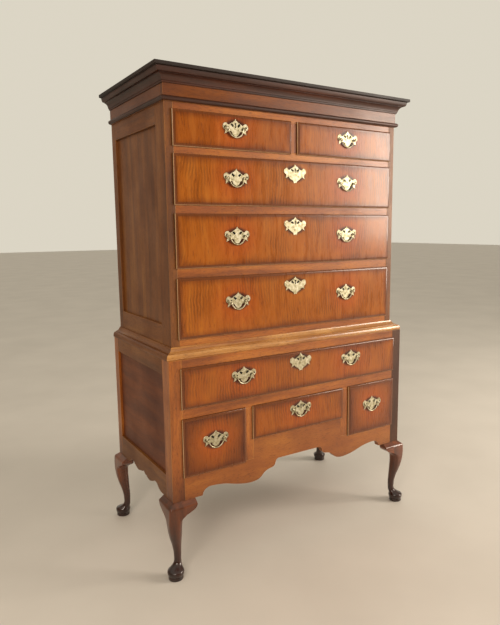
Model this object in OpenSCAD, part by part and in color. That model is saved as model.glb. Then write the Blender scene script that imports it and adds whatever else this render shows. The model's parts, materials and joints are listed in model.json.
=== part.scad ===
// Chest on stand: a case of five long and short drawers above a stand of one
// long and three short drawers, on four cabriole legs with pad feet.
// Frame: millimetres, +Z up, drawers open towards -Y, origin on the floor
// under the middle of the object.

/* [Overall] */
// Height to the top of the cornice
total_h = 1648; // [1620:1:1700]
// Width of the lower case
case_w = 1020; // [980:1:1060]
// Depth of the lower case
case_d = 534; // [510:1:560]
// Height of the legs, floor to underside of the lower case
leg_h = 266; // [262:1:270]
// Top of the lower case, where the upper case stands on it
seat_z = 742; // [741:1:745]
// Width of the upper case
upper_w = 966; // [940:1:980]
// Depth of the upper case
upper_d = 500; // [480:1:510]
// Top of the upper case, under the astragal
upper_top = 1544; // [1544:1:1550]

/* [Framing] */
// Width of the legs' posts, seen from the front
post_w = 44; // [40:1:48]
// Depth of the front posts, seen from the side
front_post_d = 54; // [46:1:59]
// Depth of the back posts and the back stiles
back_post_d = 40; // [36:1:46]
// Width of the upper case's front stiles, seen from the front
stile_w = 29; // [27:1:32]
// Depth of the upper case's front stiles, seen from the side
front_stile_d = 74; // [60:1:80]
// Thickness of the side frames' rails
frame_t = 24; // [20:1:26]
// Thickness of the side panels
panel_t = 8; // [6:1:10]
// Depth of the panels behind the face of their frames
panel_recess = 9; // [6:1:11]
// Thickness of the aprons and back boards
apron_t = 22; // [18:1:24]
// Depth of the lower case's rails between the drawers
rail_d = 60; // [60:1:70]
// Height of the waist moulding
waist_h = 37; // [34:1:40]

/* [Drawers] */
// How far a drawer's lip covers the frame round its opening
lip = 5; // [4:0.5:6]
// How far a drawer's front stands proud of the frame
front_proud = 8; // [7:0.5:9]
// Thickness of a drawer's front behind the lip
front_t = 18; // [16:1:22]
// Thickness of a drawer's sides and back
side_t = 10; // [8:1:12]
// Thickness of a drawer's bottom
bottom_t = 7; // [5:1:8]
// Clearance round a drawer in its opening
slack = 1; // [0.8:0.1:1.5]

/* [Brasses] */
// Distance from a plate's middle to each bail post
post_x = 34.5; // [34:0.1:35.5]
// Radius of a bail's curve
bail_r = 27.5; // [27:0.1:27.8]
// Radius of a bail's rod
rod_r = 1.8; // [1.6:0.1:2]
// Radius of a bail's pivot pins
pin_r = 1.25; // [1.1:0.05:1.4]
// Clearance of a pin in its post
pin_gap = 0.05; // [0.03:0.01:0.08]
// Thickness of a brass plate
plate_t = 1.8; // [1.4:0.1:2.2]

/* [Hidden] */
// Parts of one sub-part that only touch are kept this far apart
hair = 0.1;
far = 3000;

front_y = -case_d / 2;
back_y = case_d / 2;
upper_front = back_y - upper_d;
half = case_w / 2;
upper_half = upper_w / 2;
opening = half - post_w;
upper_opening = upper_half - stile_w;
waist_top = seat_z + waist_h;
back_board_t = 10;
back_board_y = back_y - back_board_t;

// Drawer lips: rows of the upper case from the bottom up, then the lower case
row_1 = [801, 1000];
row_2 = [1031, 1206];
row_3 = [1232, 1391];
row_4 = [1412, 1524];
low_row = [577, 714];
deep_row = [345, 544];
shallow_row = [423, 544];
// Half width of the frame seen between the two top drawers
top_gap = 13;
// The centre drawer's lip, and the inner edge of the lips beside it
centre_lip = 204;
inner_lip = 232;

upper_lip = upper_opening + lip;
lower_lip = opening + lip;

// name, lip x0, x1, rows, face, [bail places], plate height, keyed, lone plate
DRAWERS = [
    ["top_left", -upper_lip, -top_gap, row_4, upper_front, [-238], 1478, true, false],
    ["top_right", top_gap, upper_lip, row_4, upper_front, [238], 1478, true, false],
    ["upper", -upper_lip, upper_lip, row_3, upper_front, [-238, 238], 1320, false, 1346],
    ["middle", -upper_lip, upper_lip, row_2, upper_front, [-238, 238], 1131, false, 1165],
    ["deep", -upper_lip, upper_lip, row_1, upper_front, [-238, 238], 912, false, 953],
    ["long", -lower_lip, lower_lip, low_row, front_y, [-239, 239], 660, false, 677],
    ["low_left", -lower_lip, -inner_lip, deep_row, front_y, [-352], 456, false, false],
    ["low_centre", -centre_lip, centre_lip, shallow_row, front_y, [0], 499, true, false],
    ["low_right", inner_lip, lower_lip, deep_row, front_y, [352], 456, false, false]
];
DRAWER_COUNT = len(DRAWERS);
function d_name(i) = DRAWERS[i][0];
function d_x0(i) = DRAWERS[i][1];
function d_x1(i) = DRAWERS[i][2];
function d_z0(i) = DRAWERS[i][3][0];
function d_z1(i) = DRAWERS[i][3][1];
function d_face(i) = DRAWERS[i][4];
function d_bails(i) = DRAWERS[i][5];
function d_plate_z(i) = DRAWERS[i][6];
function d_keyed(i) = DRAWERS[i][7];
function d_lone_z(i) = DRAWERS[i][8];
// Where a drawer's keyhole is
function d_key_z(i) = is_num(d_lone_z(i)) ? d_lone_z(i) : d_plate_z(i);
function d_key_x(i) = d_keyed(i) ? d_bails(i)[0] : 0;
function d_locked(i) = d_keyed(i) || is_num(d_lone_z(i));

BAILS = [for (i = [0:DRAWER_COUNT - 1]) for (k = [0:len(d_bails(i)) - 1]) [i, k]];
function bail_name(b) = str("bail_", d_name(b[0]),
    len(d_bails(b[0])) == 1 ? "" : b[1] == 0 ? "_drawer_left" : "_drawer_right");

FRAME_NODES = [
    "leg_front_left", "leg_front_right", "leg_back_left", "leg_back_right",
    "front_apron", "lower_side_rails", "lower_side_panels", "lower_front_rails",
    "lower_partitions", "lower_runners", "lower_back_boards", "waist_moulding",
    "upper_side_frames", "upper_side_panels", "upper_front_rails", "upper_runners",
    "upper_back_boards", "upper_case_boards", "frieze", "cornice"
];
DRAWER_NODES = [for (i = [0:DRAWER_COUNT - 1]) for (s = ["front", "box", "brasses"])
    str("drawer_", d_name(i), "_", s)];

// ---- shared shapes ----

module box(x, y, z)
    translate([x[0], y[0], z[0]]) cube([x[1] - x[0], y[1] - y[0], z[1] - z[0]]);

// Extrudes an outline drawn in Y and Z along X
module along_x(x) translate([x[0], 0, 0]) rotate([90, 0, 90]) linear_extrude(x[1] - x[0]) children();

// Extrudes an outline drawn in X and Z along Y
module along_y(y) translate([0, y[1], 0]) rotate([90, 0, 0]) linear_extrude(y[1] - y[0]) children();

module both_sides() {
    children();
    mirror([1, 0, 0]) children();
}

module rod_along_x(x, y, z, r) translate([x[0], y, z]) rotate([0, 90, 0])
    cylinder(h = x[1] - x[0], r = r, $fn = 32);

module rod_along_y(x, y, z, r) translate([x, y[1], z]) rotate([90, 0, 0])
    cylinder(h = y[1] - y[0], r = r, $fn = 32);

// A curve from a to c that leaves and arrives towards b, without its first point
function bend(a, b, c, n = 6) = [for (i = [1:n]) let (t = i / n)
    a * (1 - t) * (1 - t) + b * 2 * t * (1 - t) + c * t * t];

// An outline's right half and its mirror image, from left to right
function mirrored(half_points) = concat(
    [for (i = [len(half_points) - 1:-1:0]) [-half_points[i][0], half_points[i][1]]], half_points);

// ---- legs ----

// A leg's section at each height, measured from the case's corner along both
// faces: height, inner face, outer face, radius of the outer corner, of the
// side corners and of the inner corner
LEG_SECTIONS = [
    [13, -26.9, 21.9, 24.4, 24.4, 24.4],
    [20, -30.0, 25.0, 27.5, 27.5, 27.5],
    [26, -31.1, 25.9, 28.5, 28.5, 28.5],
    [31, -29.9, 24.1, 27.0, 27.0, 27.0],
    [36, -28.0, 15.6, 21.8, 21.8, 21.8],
    [42, -27.9, 5.1, 16.5, 16.5, 16.5],
    [50, -28.4, -2.0, 13.2, 13.2, 13.2],
    [62, -28.6, -4.4, 12.1, 12.1, 12.1],
    [82, -29.3, -3.3, 13.0, 13.0, 13.0],
    [114, -28.9, 2.9, 15.9, 15.9, 15.9],
    [146, -28.5, 12.6, 19.6, 19.6, 19.6],
    [177, -27.5, 18.6, 18.0, 20.0, 20.0],
    [203, -28.0, 20.6, 15.0, 17.0, 20.0],
    [214, -33.0, 20.6, 13.0, 13.0, 18.0],
    [224, -post_w, 20.3, 11.0, 9.0, 12.0],
    [244, -post_w, 19.2, 9.0, 6.0, 8.0],
    [252, -post_w, 17.8, 8.0, 5.0, 6.0],
    [255, -post_w, 15.0, 7.0, 5.0, 6.0],
    [leg_h, -post_w, 0, 2.0, 2.0, 2.0]
];
ARC = 6;
RING = 4 * ARC;

function corner_arc(cx, cy, r, start) = [for (i = [0:ARC - 1]) let (a = start + 90 * i / (ARC - 1))
    [cx + r * cos(a), cy + r * sin(a)]];

function leg_ring(s) = let (z = s[0], a = s[1], b = s[2], ro = s[3], rs = s[4], ri = s[5])
    [for (p = concat(
        corner_arc(b - ro, b - ro, ro, 0.5),
        corner_arc(a + rs, b - rs, rs, 90.5),
        corner_arc(a + ri, a + ri, ri, 180.5),
        corner_arc(b - rs, a + rs, rs, 270.5))) [p[0], p[1], z]];

function loft_faces(rings, n) = concat(
    [[for (i = [0:n - 1]) i]],
    [[for (i = [n - 1:-1:0]) (rings - 1) * n + i]],
    [for (k = [0:rings - 2]) for (i = [0:n - 1]) let (j = (i + 1) % n)
        each [[k * n + i, (k + 1) * n + i, (k + 1) * n + j], [k * n + i, (k + 1) * n + j, k * n + j]]]);

module cabriole() {
    pad_h = 14;
    foot_middle = -2.5;
    polyhedron(points = [for (s = LEG_SECTIONS) each leg_ring(s)],
        faces = loft_faces(len(LEG_SECTIONS), RING), convexity = 6);
    translate([foot_middle, foot_middle, 0]) cylinder(h = pad_h, r = 25, $fn = 64);
}

// A knee block beside the leg's left face, under the apron: a rounded shelf
// above a scrolled underside
BLOCK_SECTION = [[-apron_t, leg_h], [0, leg_h], [15, leg_h - 11], [17.5, leg_h - 14],
    [18, leg_h - 23], [18, leg_h - 46], [-apron_t, leg_h - 46]];
BLOCK_SIDE = concat([[-post_w, leg_h], [-80, leg_h], [-80, leg_h - 14]],
    bend([-80, leg_h - 14], [-76, leg_h - 30], [-60, leg_h - 34], 5),
    [[-50, leg_h - 38], [-post_w, leg_h - 42]]);

module knee_block() intersection() {
    along_x([-100, 0]) polygon(BLOCK_SECTION);
    along_y([-60, 60]) polygon(BLOCK_SIDE);
}

// The back right leg, with its outer corner at the case's corner
module leg(post_d, blocks) color("#4a2a17") {
    cabriole();
    box([-post_w, 0], [-post_d, 0], [leg_h, seat_z]);
    translate([0, 0, -hair]) {
        if (blocks > 1) translate([-hair, 0, 0]) knee_block();
        translate([0, -hair, 0]) mirror([1, -1, 0]) knee_block();
    }
}

module leg_front_left() mirror([1, 0, 0]) leg_front_right();
module leg_front_right() translate([half, front_y, 0]) mirror([0, 1, 0]) leg(front_post_d, 2);
module leg_back_left() mirror([1, 0, 0]) leg_back_right();
module leg_back_right() translate([half, back_y, 0]) leg(back_post_d, 1);

// ---- lower case ----

low_open = low_row + [lip, -lip];
deep_open = deep_row + [lip, -lip];
shallow_open = shallow_row + [lip, -lip];
centre_open = centre_lip - lip;
inner_open = inner_lip + lip;

// Lower edge of the front apron, from the middle to the right
APRON_EDGE = concat([[0, leg_h + 62], [93, leg_h + 62]],
    bend([93, leg_h + 62], [104, leg_h + 62], [107, leg_h + 47], 4),
    bend([107, leg_h + 47], [110, leg_h + 34], [126, leg_h + 32], 4),
    bend([126, leg_h + 32], [150, leg_h + 29], [164, leg_h + 13], 4),
    bend([164, leg_h + 13], [178, leg_h - 3], [212, leg_h - 2], 5),
    bend([212, leg_h - 2], [245, leg_h - 1], [285, leg_h + 11], 4),
    bend([285, leg_h + 11], [325, leg_h + 25], [372, leg_h + 26], 5),
    bend([372, leg_h + 26], [398, leg_h + 24], [402, leg_h], 5),
    [[opening, leg_h]]);

module front_apron() color("#8a4f26") along_y([front_y, front_y + apron_t])
    polygon(concat(mirrored(APRON_EDGE), [
        [opening, deep_open[0]], [inner_open, deep_open[0]], [centre_open, deep_open[0]],
        [centre_open, shallow_open[0]], [-centre_open, shallow_open[0]],
        [-centre_open, deep_open[0]], [-opening, deep_open[0]]]));

// Lower edge of a side apron, from the middle towards the back
SIDE_EDGE = concat([[0, leg_h + 23]],
    bend([0, leg_h + 23], [5, leg_h + 10], [28, leg_h + 9], 4),
    bend([28, leg_h + 9], [46, leg_h + 1], [62, leg_h + 3], 4),
    bend([62, leg_h + 3], [82, leg_h + 7], [104, leg_h + 18], 4),
    bend([104, leg_h + 18], [124, leg_h + 24], [134, leg_h + 14], 4),
    bend([134, leg_h + 14], [144, leg_h + 4], [162, leg_h], 4),
    [[case_d / 2 - front_post_d, leg_h]]);
panel_z = [346, 690];
side_y = [front_y + front_post_d, back_y - back_post_d];

module lower_side_rails() color("#452f1c") both_sides() {
    box([half - frame_t, half], side_y, [panel_z[1], seat_z]);
    intersection() {
        along_x([half - frame_t, half]) polygon(concat(mirrored(SIDE_EDGE),
            [[case_d / 2 - front_post_d, panel_z[0]], [front_post_d - case_d / 2, panel_z[0]]]));
        box([0, half], side_y, [0, seat_z]);
    }
    back_gap = [case_d / 2 - front_post_d + hair, side_y[1]];
    box([half - frame_t, half], back_gap, [leg_h, panel_z[0]]);
}

module lower_side_panels() color("#3d2616") both_sides()
    box([half - panel_recess - panel_t, half - panel_recess], side_y, panel_z);

module lower_front_rails() color("#8f5a2c") {
    y = [front_y, front_y + rail_d];
    box([-opening, opening], y, [low_open[1], seat_z]);
    box([-opening, opening], y, [deep_open[1], low_open[0]]);
}

partition_half = (inner_open - centre_open) / 2;
partition_x = (inner_open + centre_open) / 2;
partition_board_half = 9;

// Uprights between the three lower drawers, and the boards behind them
module lower_partitions() color("#8a4f26") both_sides() {
    box([partition_x - partition_half, partition_x + partition_half], [front_y, front_y + apron_t],
        [deep_open[0] + hair, deep_open[1] - hair]);
    box([partition_x - partition_board_half, partition_x + partition_board_half],
        [front_y + apron_t + hair, back_board_y], [deep_open[0], deep_open[1] - hair]);
}

runner_h = 14;
// How far a runner reaches under a drawer's side
runner_reach = 18;
guide_h = 30;

// A runner under one side of a drawer, its top level with the opening's floor
module runner(x, y, top) box(x, y, [top - runner_h, top]);

// A runner and a guide along the side of the case, from the drawer to the frame
module side_runner(edge, frame_x, y, top) {
    runner([edge - runner_reach, frame_x], y, top);
    box([edge, frame_x], y, [top + hair, top + guide_h]);
}

module lower_runners() color("#b98e57") both_sides() {
    behind_rail = [front_y + rail_d + hair, side_y[1]];
    behind_post = [side_y[0] + hair, side_y[1]];
    behind_apron = [front_y + apron_t + hair, side_y[1]];
    side_runner(opening, half - frame_t, behind_rail, low_open[0]);
    side_runner(opening, half - frame_t, behind_post, deep_open[0]);
    runner([partition_x + partition_board_half, inner_open + runner_reach], behind_apron, deep_open[0]);
    runner([centre_open - runner_reach, partition_x - partition_board_half], behind_apron,
        shallow_open[0]);
}

// Two boards laid across the back, with a narrow gap between them
module lower_back_boards() color("#8a6a44") {
    bottom_z = leg_h + 24;
    middle_z = 520;
    for (z = [[bottom_z, middle_z - 1], [middle_z, seat_z]])
        box([-opening, opening], [back_board_y, back_y], z);
}

// ---- mouldings: each is mitred in three lengths round the front and sides ----

// profile holds [projection, height] from the faces of a case of half width w
// with its front at y
module moulding(profile, w, y, reach = 60, inset = 40) {
    side_end = back_y - hair;
    intersection() {
        along_x([-w - reach, w + reach]) polygon([for (p = profile) [y - p[0], p[1]]]);
        linear_extrude(far) polygon([[-w + inset, y + inset], [w - inset, y + inset],
            [w + reach, y - reach], [-w - reach, y - reach]]);
    }
    both_sides() intersection() {
        along_y([y - reach, side_end]) polygon([for (p = profile) [w + p[0], p[1]]]);
        linear_extrude(far) polygon([[w - inset, y + inset + 2 * hair], [w + reach, y - reach + 2 * hair],
            [w + reach, side_end], [w - inset, side_end]]);
    }
}

module waist_moulding() {
    step = half - upper_half;
    color("#9c6632") moulding(concat(
        [[0.3, seat_z], [step + 2, seat_z], [step + 3, seat_z + 2]],
        bend([step + 3, seat_z + 2], [step + 3, seat_z + 17], [step - 5, seat_z + 19]),
        [[step - 8, seat_z + 19], [step - 8, seat_z + 21]],
        bend([step - 8, seat_z + 21], [8, seat_z + 23], [3, waist_top - 1]),
        [[3, waist_top], [0.3, waist_top]]), upper_half, upper_front);
}

frieze_proud = 3;
bead_r = 7.5;
cornice_z = 1596;
cornice_out = 42;

module cornice() color("#4a2a16") {
    bead_z = upper_top + 1 + bead_r;
    moulding(concat([[frieze_proud, bead_z - bead_r], [frieze_proud + 1, bead_z - bead_r]],
        [for (a = [-75:25:75]) [frieze_proud + 1 + bead_r * cos(a), bead_z + bead_r * sin(a)]],
        [[frieze_proud + 1, bead_z + bead_r], [frieze_proud, bead_z + bead_r]]),
        upper_half, upper_front);
    moulding(concat([[frieze_proud, cornice_z], [7, cornice_z], [7, cornice_z + 5], [9, cornice_z + 6]],
        bend([9, cornice_z + 6], [11, cornice_z + 20], [22, cornice_z + 24]),
        [[23, cornice_z + 24], [23, cornice_z + 26], [28, cornice_z + 26]],
        bend([28, cornice_z + 26], [32, cornice_z + 28], [34, cornice_z + 40], 4),
        [[cornice_out, cornice_z + 42], [cornice_out, total_h], [frieze_proud, total_h]]),
        upper_half, upper_front);
}

top_board_t = 14;
// The top board lies a little below the cornice's edge
top_board_z = total_h - 3 - top_board_t;
frieze_t = 22;

module frieze() color("#5d3a20") {
    z = [upper_top, top_board_z];
    outer = upper_half + frieze_proud;
    face = upper_front - frieze_proud;
    box([-outer, outer], [face, face + frieze_t], z);
    both_sides() box([outer - frieze_t, outer], [face + frieze_t + hair, back_y], z);
    box([hair + frieze_t - outer, outer - frieze_t - hair], [back_board_y, back_y], z);
}

// ---- upper case ----

upper_panel_z = [844, 1484];
upper_side_y = [upper_front + front_stile_d, back_y - back_post_d];

module upper_side_frames() color("#4b3420") both_sides() {
    inner = [upper_half - frame_t, upper_half];
    rail_y = [upper_side_y[0] + hair, upper_side_y[1] - hair];
    box([upper_opening, upper_half], [upper_front, upper_side_y[0]], [seat_z, upper_top]);
    box(inner, [upper_side_y[1], back_y], [seat_z, upper_top]);
    box(inner, rail_y, [seat_z, upper_panel_z[0]]);
    box(inner, rail_y, [upper_panel_z[1], upper_top]);
}

module upper_side_panels() color("#3d2616") both_sides()
    box([upper_half - panel_recess - panel_t, upper_half - panel_recess], upper_side_y, upper_panel_z);

module upper_front_rails() color("#94602f") {
    y = [upper_front, upper_side_y[0]];
    rows = [row_1, row_2, row_3, row_4];
    x = [-upper_opening, upper_opening];
    box(x, y, [seat_z, row_1[0] + lip]);
    for (k = [0:2]) box(x, y, [rows[k][1] - lip, rows[k + 1][0] + lip]);
    box(x, y, [row_4[1] - lip, upper_top]);
    box([-top_gap - lip, top_gap + lip], y, [row_4[0] + lip + hair, row_4[1] - lip - hair]);
}

module upper_runners() color("#b98e57") {
    y = [upper_side_y[0] + hair, back_board_y];
    both_sides() for (row = [row_1, row_2, row_3, row_4])
        side_runner(upper_opening, upper_half - frame_t, y, row[0] + lip);
    // Under the two top drawers' inner sides, with a guide between them
    centre_reach = top_gap + lip + runner_reach;
    runner([-centre_reach, centre_reach], y, row_4[0] + lip);
    box([-top_gap - lip, top_gap + lip], y, [row_4[0] + lip + hair, row_4[0] + lip + guide_h]);
}

module upper_back_boards() color("#8a6a44") {
    boards = 4;
    half_gap = 0.5;
    board_w = 2 * (upper_half - frame_t) / boards;
    for (k = [0:boards - 1]) let (x = frame_t - upper_half + k * board_w)
        box([x + half_gap, x + board_w - half_gap], [back_board_y, back_y], [seat_z, upper_top]);
}

// The bottom board behind the lowest rail, and the top board inside the cornice
module upper_case_boards() color("#a07b4e") {
    bottom_board_t = 16;
    inner = upper_half - frame_t;
    outer = upper_half + frieze_proud;
    box([-inner, inner], [upper_side_y[0] + hair, back_board_y], [seat_z, seat_z + bottom_board_t]);
    box([-outer, outer], [upper_front - frieze_proud, back_y], [top_board_z, top_board_z + top_board_t]);
}

// ---- drawers ----

// Height of a bail's pivot above the middle of its plate
pivot_up = 1;
// How far the bail's curve stands in front of the plate
bail_out = 3.2;
eye_r = 2.6;
hole_r = 2.6;
shank_r = 2.2;
head_r = 4;
lock_size = [50, 11, 44];
// Height of a lock's middle above its keyhole
lock_up = 6;
play = 0.2;

function opening_x(i) = [d_x0(i) + lip, d_x1(i) - lip];
function opening_z(i) = [d_z0(i) + lip, d_z1(i) - lip];
function plate_face(i) = d_face(i) - front_proud - plate_t;
function front_back(i) = d_face(i) + front_t;

// Edge of a drawer's front from its field to the lip's back: a fillet step and
// a quarter round, as [in from the edge, in front of the frame]
LIP_EDGE = concat([[9, front_proud], [9, front_proud - 1], [8, front_proud - 1]],
    bend([8, front_proud - 1], [0, front_proud - 1], [0, 1.5], 5), [[0, 0.4]]);

// A front's outline in one direction across it, as [across, y]
function lip_outline(a, b, face) = concat(
    [for (p = LIP_EDGE) [b - p[0], face - p[1]]],
    [for (k = [len(LIP_EDGE) - 1:-1:0]) [a + LIP_EDGE[k][0], face - LIP_EDGE[k][1]]]);

module at_posts(i) for (x = d_bails(i)) for (side = [-1, 1])
    translate([x + side * post_x, 0, d_plate_z(i) + pivot_up]) children();

// The span of a length w about a middle, with extra at each end
function about(middle, w, extra = 0) = [middle - w / 2 - extra, middle + w / 2 + extra];

module lock_block(i, extra) let (y = front_back(i))
    box(about(d_key_x(i), lock_size[0], extra), [y - lock_size[1] - extra, y + extra],
        about(d_key_z(i) + lock_up, lock_size[2], extra));

// A keyhole: a round top over a narrower slot
module key_cut(x, z, y) {
    rod_along_y(x, y, z + 16, 2.4);
    box([x - 1.4, x + 1.4], y, [z + 4, z + 15]);
}

module drawer_front(i) color("#a8602a") {
    face = d_face(i);
    through = [face - 20, face + 40];
    difference() {
        union() {
            intersection() {
                translate([0, 0, d_z0(i)]) linear_extrude(d_z1(i) - d_z0(i))
                    polygon(lip_outline(d_x0(i), d_x1(i), face));
                along_x([d_x0(i), d_x1(i)])
                    polygon([for (p = lip_outline(d_z0(i), d_z1(i), face)) [p[1], p[0]]]);
            }
            box(opening_x(i) + [slack, -slack], [face - 1, front_back(i)], opening_z(i) + [slack, -slack]);
        }
        at_posts(i) rod_along_y(0, through, 0, hole_r);
        if (d_locked(i)) {
            lock_block(i, play);
            key_cut(d_key_x(i), d_key_z(i), through);
        }
    }
}

// Two sides, a back and a bottom
module drawer_box(i) color("#b98e57") {
    x = opening_x(i) + [slack, -slack];
    z = [opening_z(i)[0] + 0.4, opening_z(i)[1] - 4];
    y = [front_back(i) + hair, back_board_y - 12];
    bottom = z[0] + 8;
    inner = x + (side_t + hair) * [1, -1];
    box([x[0], x[0] + side_t], y, z);
    box([x[1] - side_t, x[1]], y, z);
    box(inner, [y[0], y[1]], [bottom, bottom + bottom_t]);
    box(inner, [y[1] - side_t, y[1]], [bottom + bottom_t + hair, z[1] - 6]);
}

// Right half of a plate's outline, from its peak to its spur: a straight
// shoulder, a rounded ear and a pointed spur
PLATE_EDGE = concat([[0, 33], [2, 29.5], [3.4, 27.2]],
    bend([3.4, 27.2], [6, 24.5], [12, 21], 3),
    bend([12, 21], [18, 17.5], [24, 13.5], 3),
    bend([24, 13.5], [28, 12.5], [31, 16], 3),
    bend([31, 16], [35, 20.5], [40, 18.5], 3),
    bend([40, 18.5], [47.5, 15], [47.5, 6], 4),
    bend([47.5, 6], [46.5, -2], [39, -3.5], 3),
    bend([39, -3.5], [37, -9], [42, -17], 3),
    bend([42, -17], [34, -14], [29, -10], 3));
// The rest of it, down to the foot: a round bowl on a plate behind a
// handle, and a flared foot on a plate by itself
BOWL_EDGE = concat(bend([29, -10], [20, -6], [15, -9], 3), bend([15, -9], [12, -21], [0, -24], 5));
FOOT_EDGE = concat(bend([29, -10], [22, -19], [12, -23], 3),
    bend([12, -23], [6, -26], [7, -33], 3), [[0, -31]]);
// Its eye piercings, as a middle and a radius
EYES = [[10.4, 10.2, 3.2], [14.4, 13, 3.2]];

module plate(x, z, y, posts, key) difference() {
    right_edge = concat(PLATE_EDGE, posts ? BOWL_EDGE : FOOT_EDGE);
    left_edge = [for (k = [len(right_edge) - 2:-1:1]) [-right_edge[k][0], right_edge[k][1]]];
    translate([x, 0, z]) along_y([y, y + plate_t]) polygon(concat(right_edge, left_edge));
    cut = [y - 1, y + plate_t + 1];
    for (side = [-1, 1]) for (eye = EYES)
        rod_along_y(x + side * eye[0], cut, z + eye[1], eye[2]);
    if (posts) for (side = [-1, 1]) rod_along_y(x + side * post_x, cut, z + pivot_up, shank_r + 0.1);
    if (key) key_cut(x, z, cut);
}

// A post with its bored head, and the nut that holds it from inside
module post(i) let (y = plate_face(i), inside = front_back(i)) {
    difference() {
        union() {
            rod_along_y(0, [y - 6.5, y - 0.1], 0, head_r);
            rod_along_y(0, [y - 8, y - 6], 0, 2.8);
            rod_along_y(0, [y - 1, inside + 5], 0, shank_r);
        }
        rod_along_x([-10, 10], y - bail_out, 0, pin_r + pin_gap);
    }
    difference() {
        rod_along_y(0, [inside + 0.1, inside + 3.1], 0, 5);
        rod_along_y(0, [inside - 1, inside + 6], 0, shank_r + 0.1);
    }
}

module drawer_brasses(i) color("#cdbb7c") {
    y = plate_face(i);
    for (x = d_bails(i)) plate(x, d_plate_z(i), y, true, d_keyed(i));
    if (is_num(d_lone_z(i))) plate(0, d_lone_z(i), y, false, true);
    at_posts(i) post(i);
    if (d_locked(i)) difference() {
        lock_block(i, 0);
        key_cut(d_key_x(i), d_key_z(i), [d_face(i) - 20, front_back(i) - 4]);
    }
}

// A half round drop with a pin turned outwards at each end
module bail(b) let (i = b[0]) color("#d9c88c")
    translate([d_bails(i)[b[1]], plate_face(i) - bail_out, d_plate_z(i) + pivot_up]) {
        rotate([-90, 0, 0]) rotate_extrude(angle = 180, $fn = 96)
            translate([bail_r, 0]) circle(r = rod_r, $fn = 32);
        for (side = [-1, 1]) {
            translate([side * bail_r, 0, 0]) sphere(r = eye_r, $fn = 32);
            rod_along_x(side > 0 ? [bail_r, post_x + 2] : [-post_x - 2, -bail_r], 0, 0, pin_r);
        }
    }

leg_front_left();
leg_front_right();
leg_back_left();
leg_back_right();
front_apron();
lower_side_rails();
lower_side_panels();
lower_front_rails();
lower_partitions();
lower_runners();
lower_back_boards();
waist_moulding();
upper_side_frames();
upper_side_panels();
upper_front_rails();
upper_runners();
upper_back_boards();
upper_case_boards();
frieze();
cornice();
for (i = [0:DRAWER_COUNT - 1]) {
    drawer_front(i);
    drawer_box(i);
    drawer_brasses(i);
}
for (b = BAILS) bail(b);
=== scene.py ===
"""A walnut chest on stand: a chest of five drawers that lifts off a stand with four more, on cabriole legs.

Shapes are drawn in millimetres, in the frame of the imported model, and turned to metres as they are made.
"""
import math
import random

import bmesh
import bpy
import numpy as np
from mathutils import Matrix, Vector
from mathutils.geometry import delaunay_2d_cdt
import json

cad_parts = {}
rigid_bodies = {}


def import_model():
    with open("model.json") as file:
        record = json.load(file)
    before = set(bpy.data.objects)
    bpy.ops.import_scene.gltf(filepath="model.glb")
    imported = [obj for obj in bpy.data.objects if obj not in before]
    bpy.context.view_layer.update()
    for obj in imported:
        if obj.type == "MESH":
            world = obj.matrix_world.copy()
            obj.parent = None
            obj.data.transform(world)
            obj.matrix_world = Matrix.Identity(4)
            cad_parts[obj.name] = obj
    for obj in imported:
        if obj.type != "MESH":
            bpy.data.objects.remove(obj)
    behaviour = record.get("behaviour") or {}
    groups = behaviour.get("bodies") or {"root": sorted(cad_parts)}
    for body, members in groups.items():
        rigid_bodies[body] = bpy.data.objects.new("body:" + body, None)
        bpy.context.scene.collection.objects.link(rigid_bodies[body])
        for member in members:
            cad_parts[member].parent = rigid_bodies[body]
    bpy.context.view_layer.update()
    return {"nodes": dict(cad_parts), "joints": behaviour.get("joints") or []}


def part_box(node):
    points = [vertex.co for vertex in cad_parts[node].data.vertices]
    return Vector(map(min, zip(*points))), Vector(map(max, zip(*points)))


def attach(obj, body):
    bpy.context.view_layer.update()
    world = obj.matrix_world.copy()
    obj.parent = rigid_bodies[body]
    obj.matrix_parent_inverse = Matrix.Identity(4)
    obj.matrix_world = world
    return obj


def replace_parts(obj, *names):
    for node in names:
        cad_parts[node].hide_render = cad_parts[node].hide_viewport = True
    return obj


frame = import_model()

# ---- View, floor and light ----
# The chest stands on a plain pale floor. A tall window to the right of it, and in front, gives
# most of the light, and a pale room fills the shadows.

scene = bpy.context.scene
scene.view_settings.view_transform = "Standard"


def linear(colour):
    """A linear colour from an sRGB hex value such as #8a5a30."""
    parts = [int(colour[i:i + 2], 16) / 255 for i in (1, 3, 5)]
    return [p / 12.92 if p <= 0.04045 else ((p + 0.055) / 1.055) ** 2.4 for p in parts] + [1]


def add(tree, kind, settings, links):
    """Adds a node, with its settings and what goes into its sockets: a value, a node or a socket."""
    made = tree.nodes.new(kind)
    for name, value in settings.items():
        if name == "stops":
            while len(made.color_ramp.elements) < len(value):
                made.color_ramp.elements.new(0.5)
            for element, (place, colour) in zip(made.color_ramp.elements, value):
                element.position = place
                element.color = linear(colour)
        else:
            setattr(made, name, value)
    for name, value in links.items():
        if isinstance(value, bpy.types.Node):
            tree.links.new(value.outputs[0], made.inputs[name])
        elif isinstance(value, bpy.types.NodeSocket):
            tree.links.new(value, made.inputs[name])
        else:
            made.inputs[name].default_value = value
    return made


def aim(yaw, pitch, roll):
    """A turn that looks yaw degrees from +Y towards +X, pitch degrees up, then rolls about that line."""
    yaw, pitch, roll = (math.radians(a) for a in (yaw, pitch, roll))
    forward = Vector((math.sin(yaw) * math.cos(pitch), math.cos(yaw) * math.cos(pitch), math.sin(pitch)))
    level = Vector((math.cos(yaw), -math.sin(yaw), 0))
    upright = level.cross(forward)
    right = math.cos(roll) * level + math.sin(roll) * upright
    up = math.cos(roll) * upright - math.sin(roll) * level
    return Matrix((right, up, -forward)).transposed()


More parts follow.
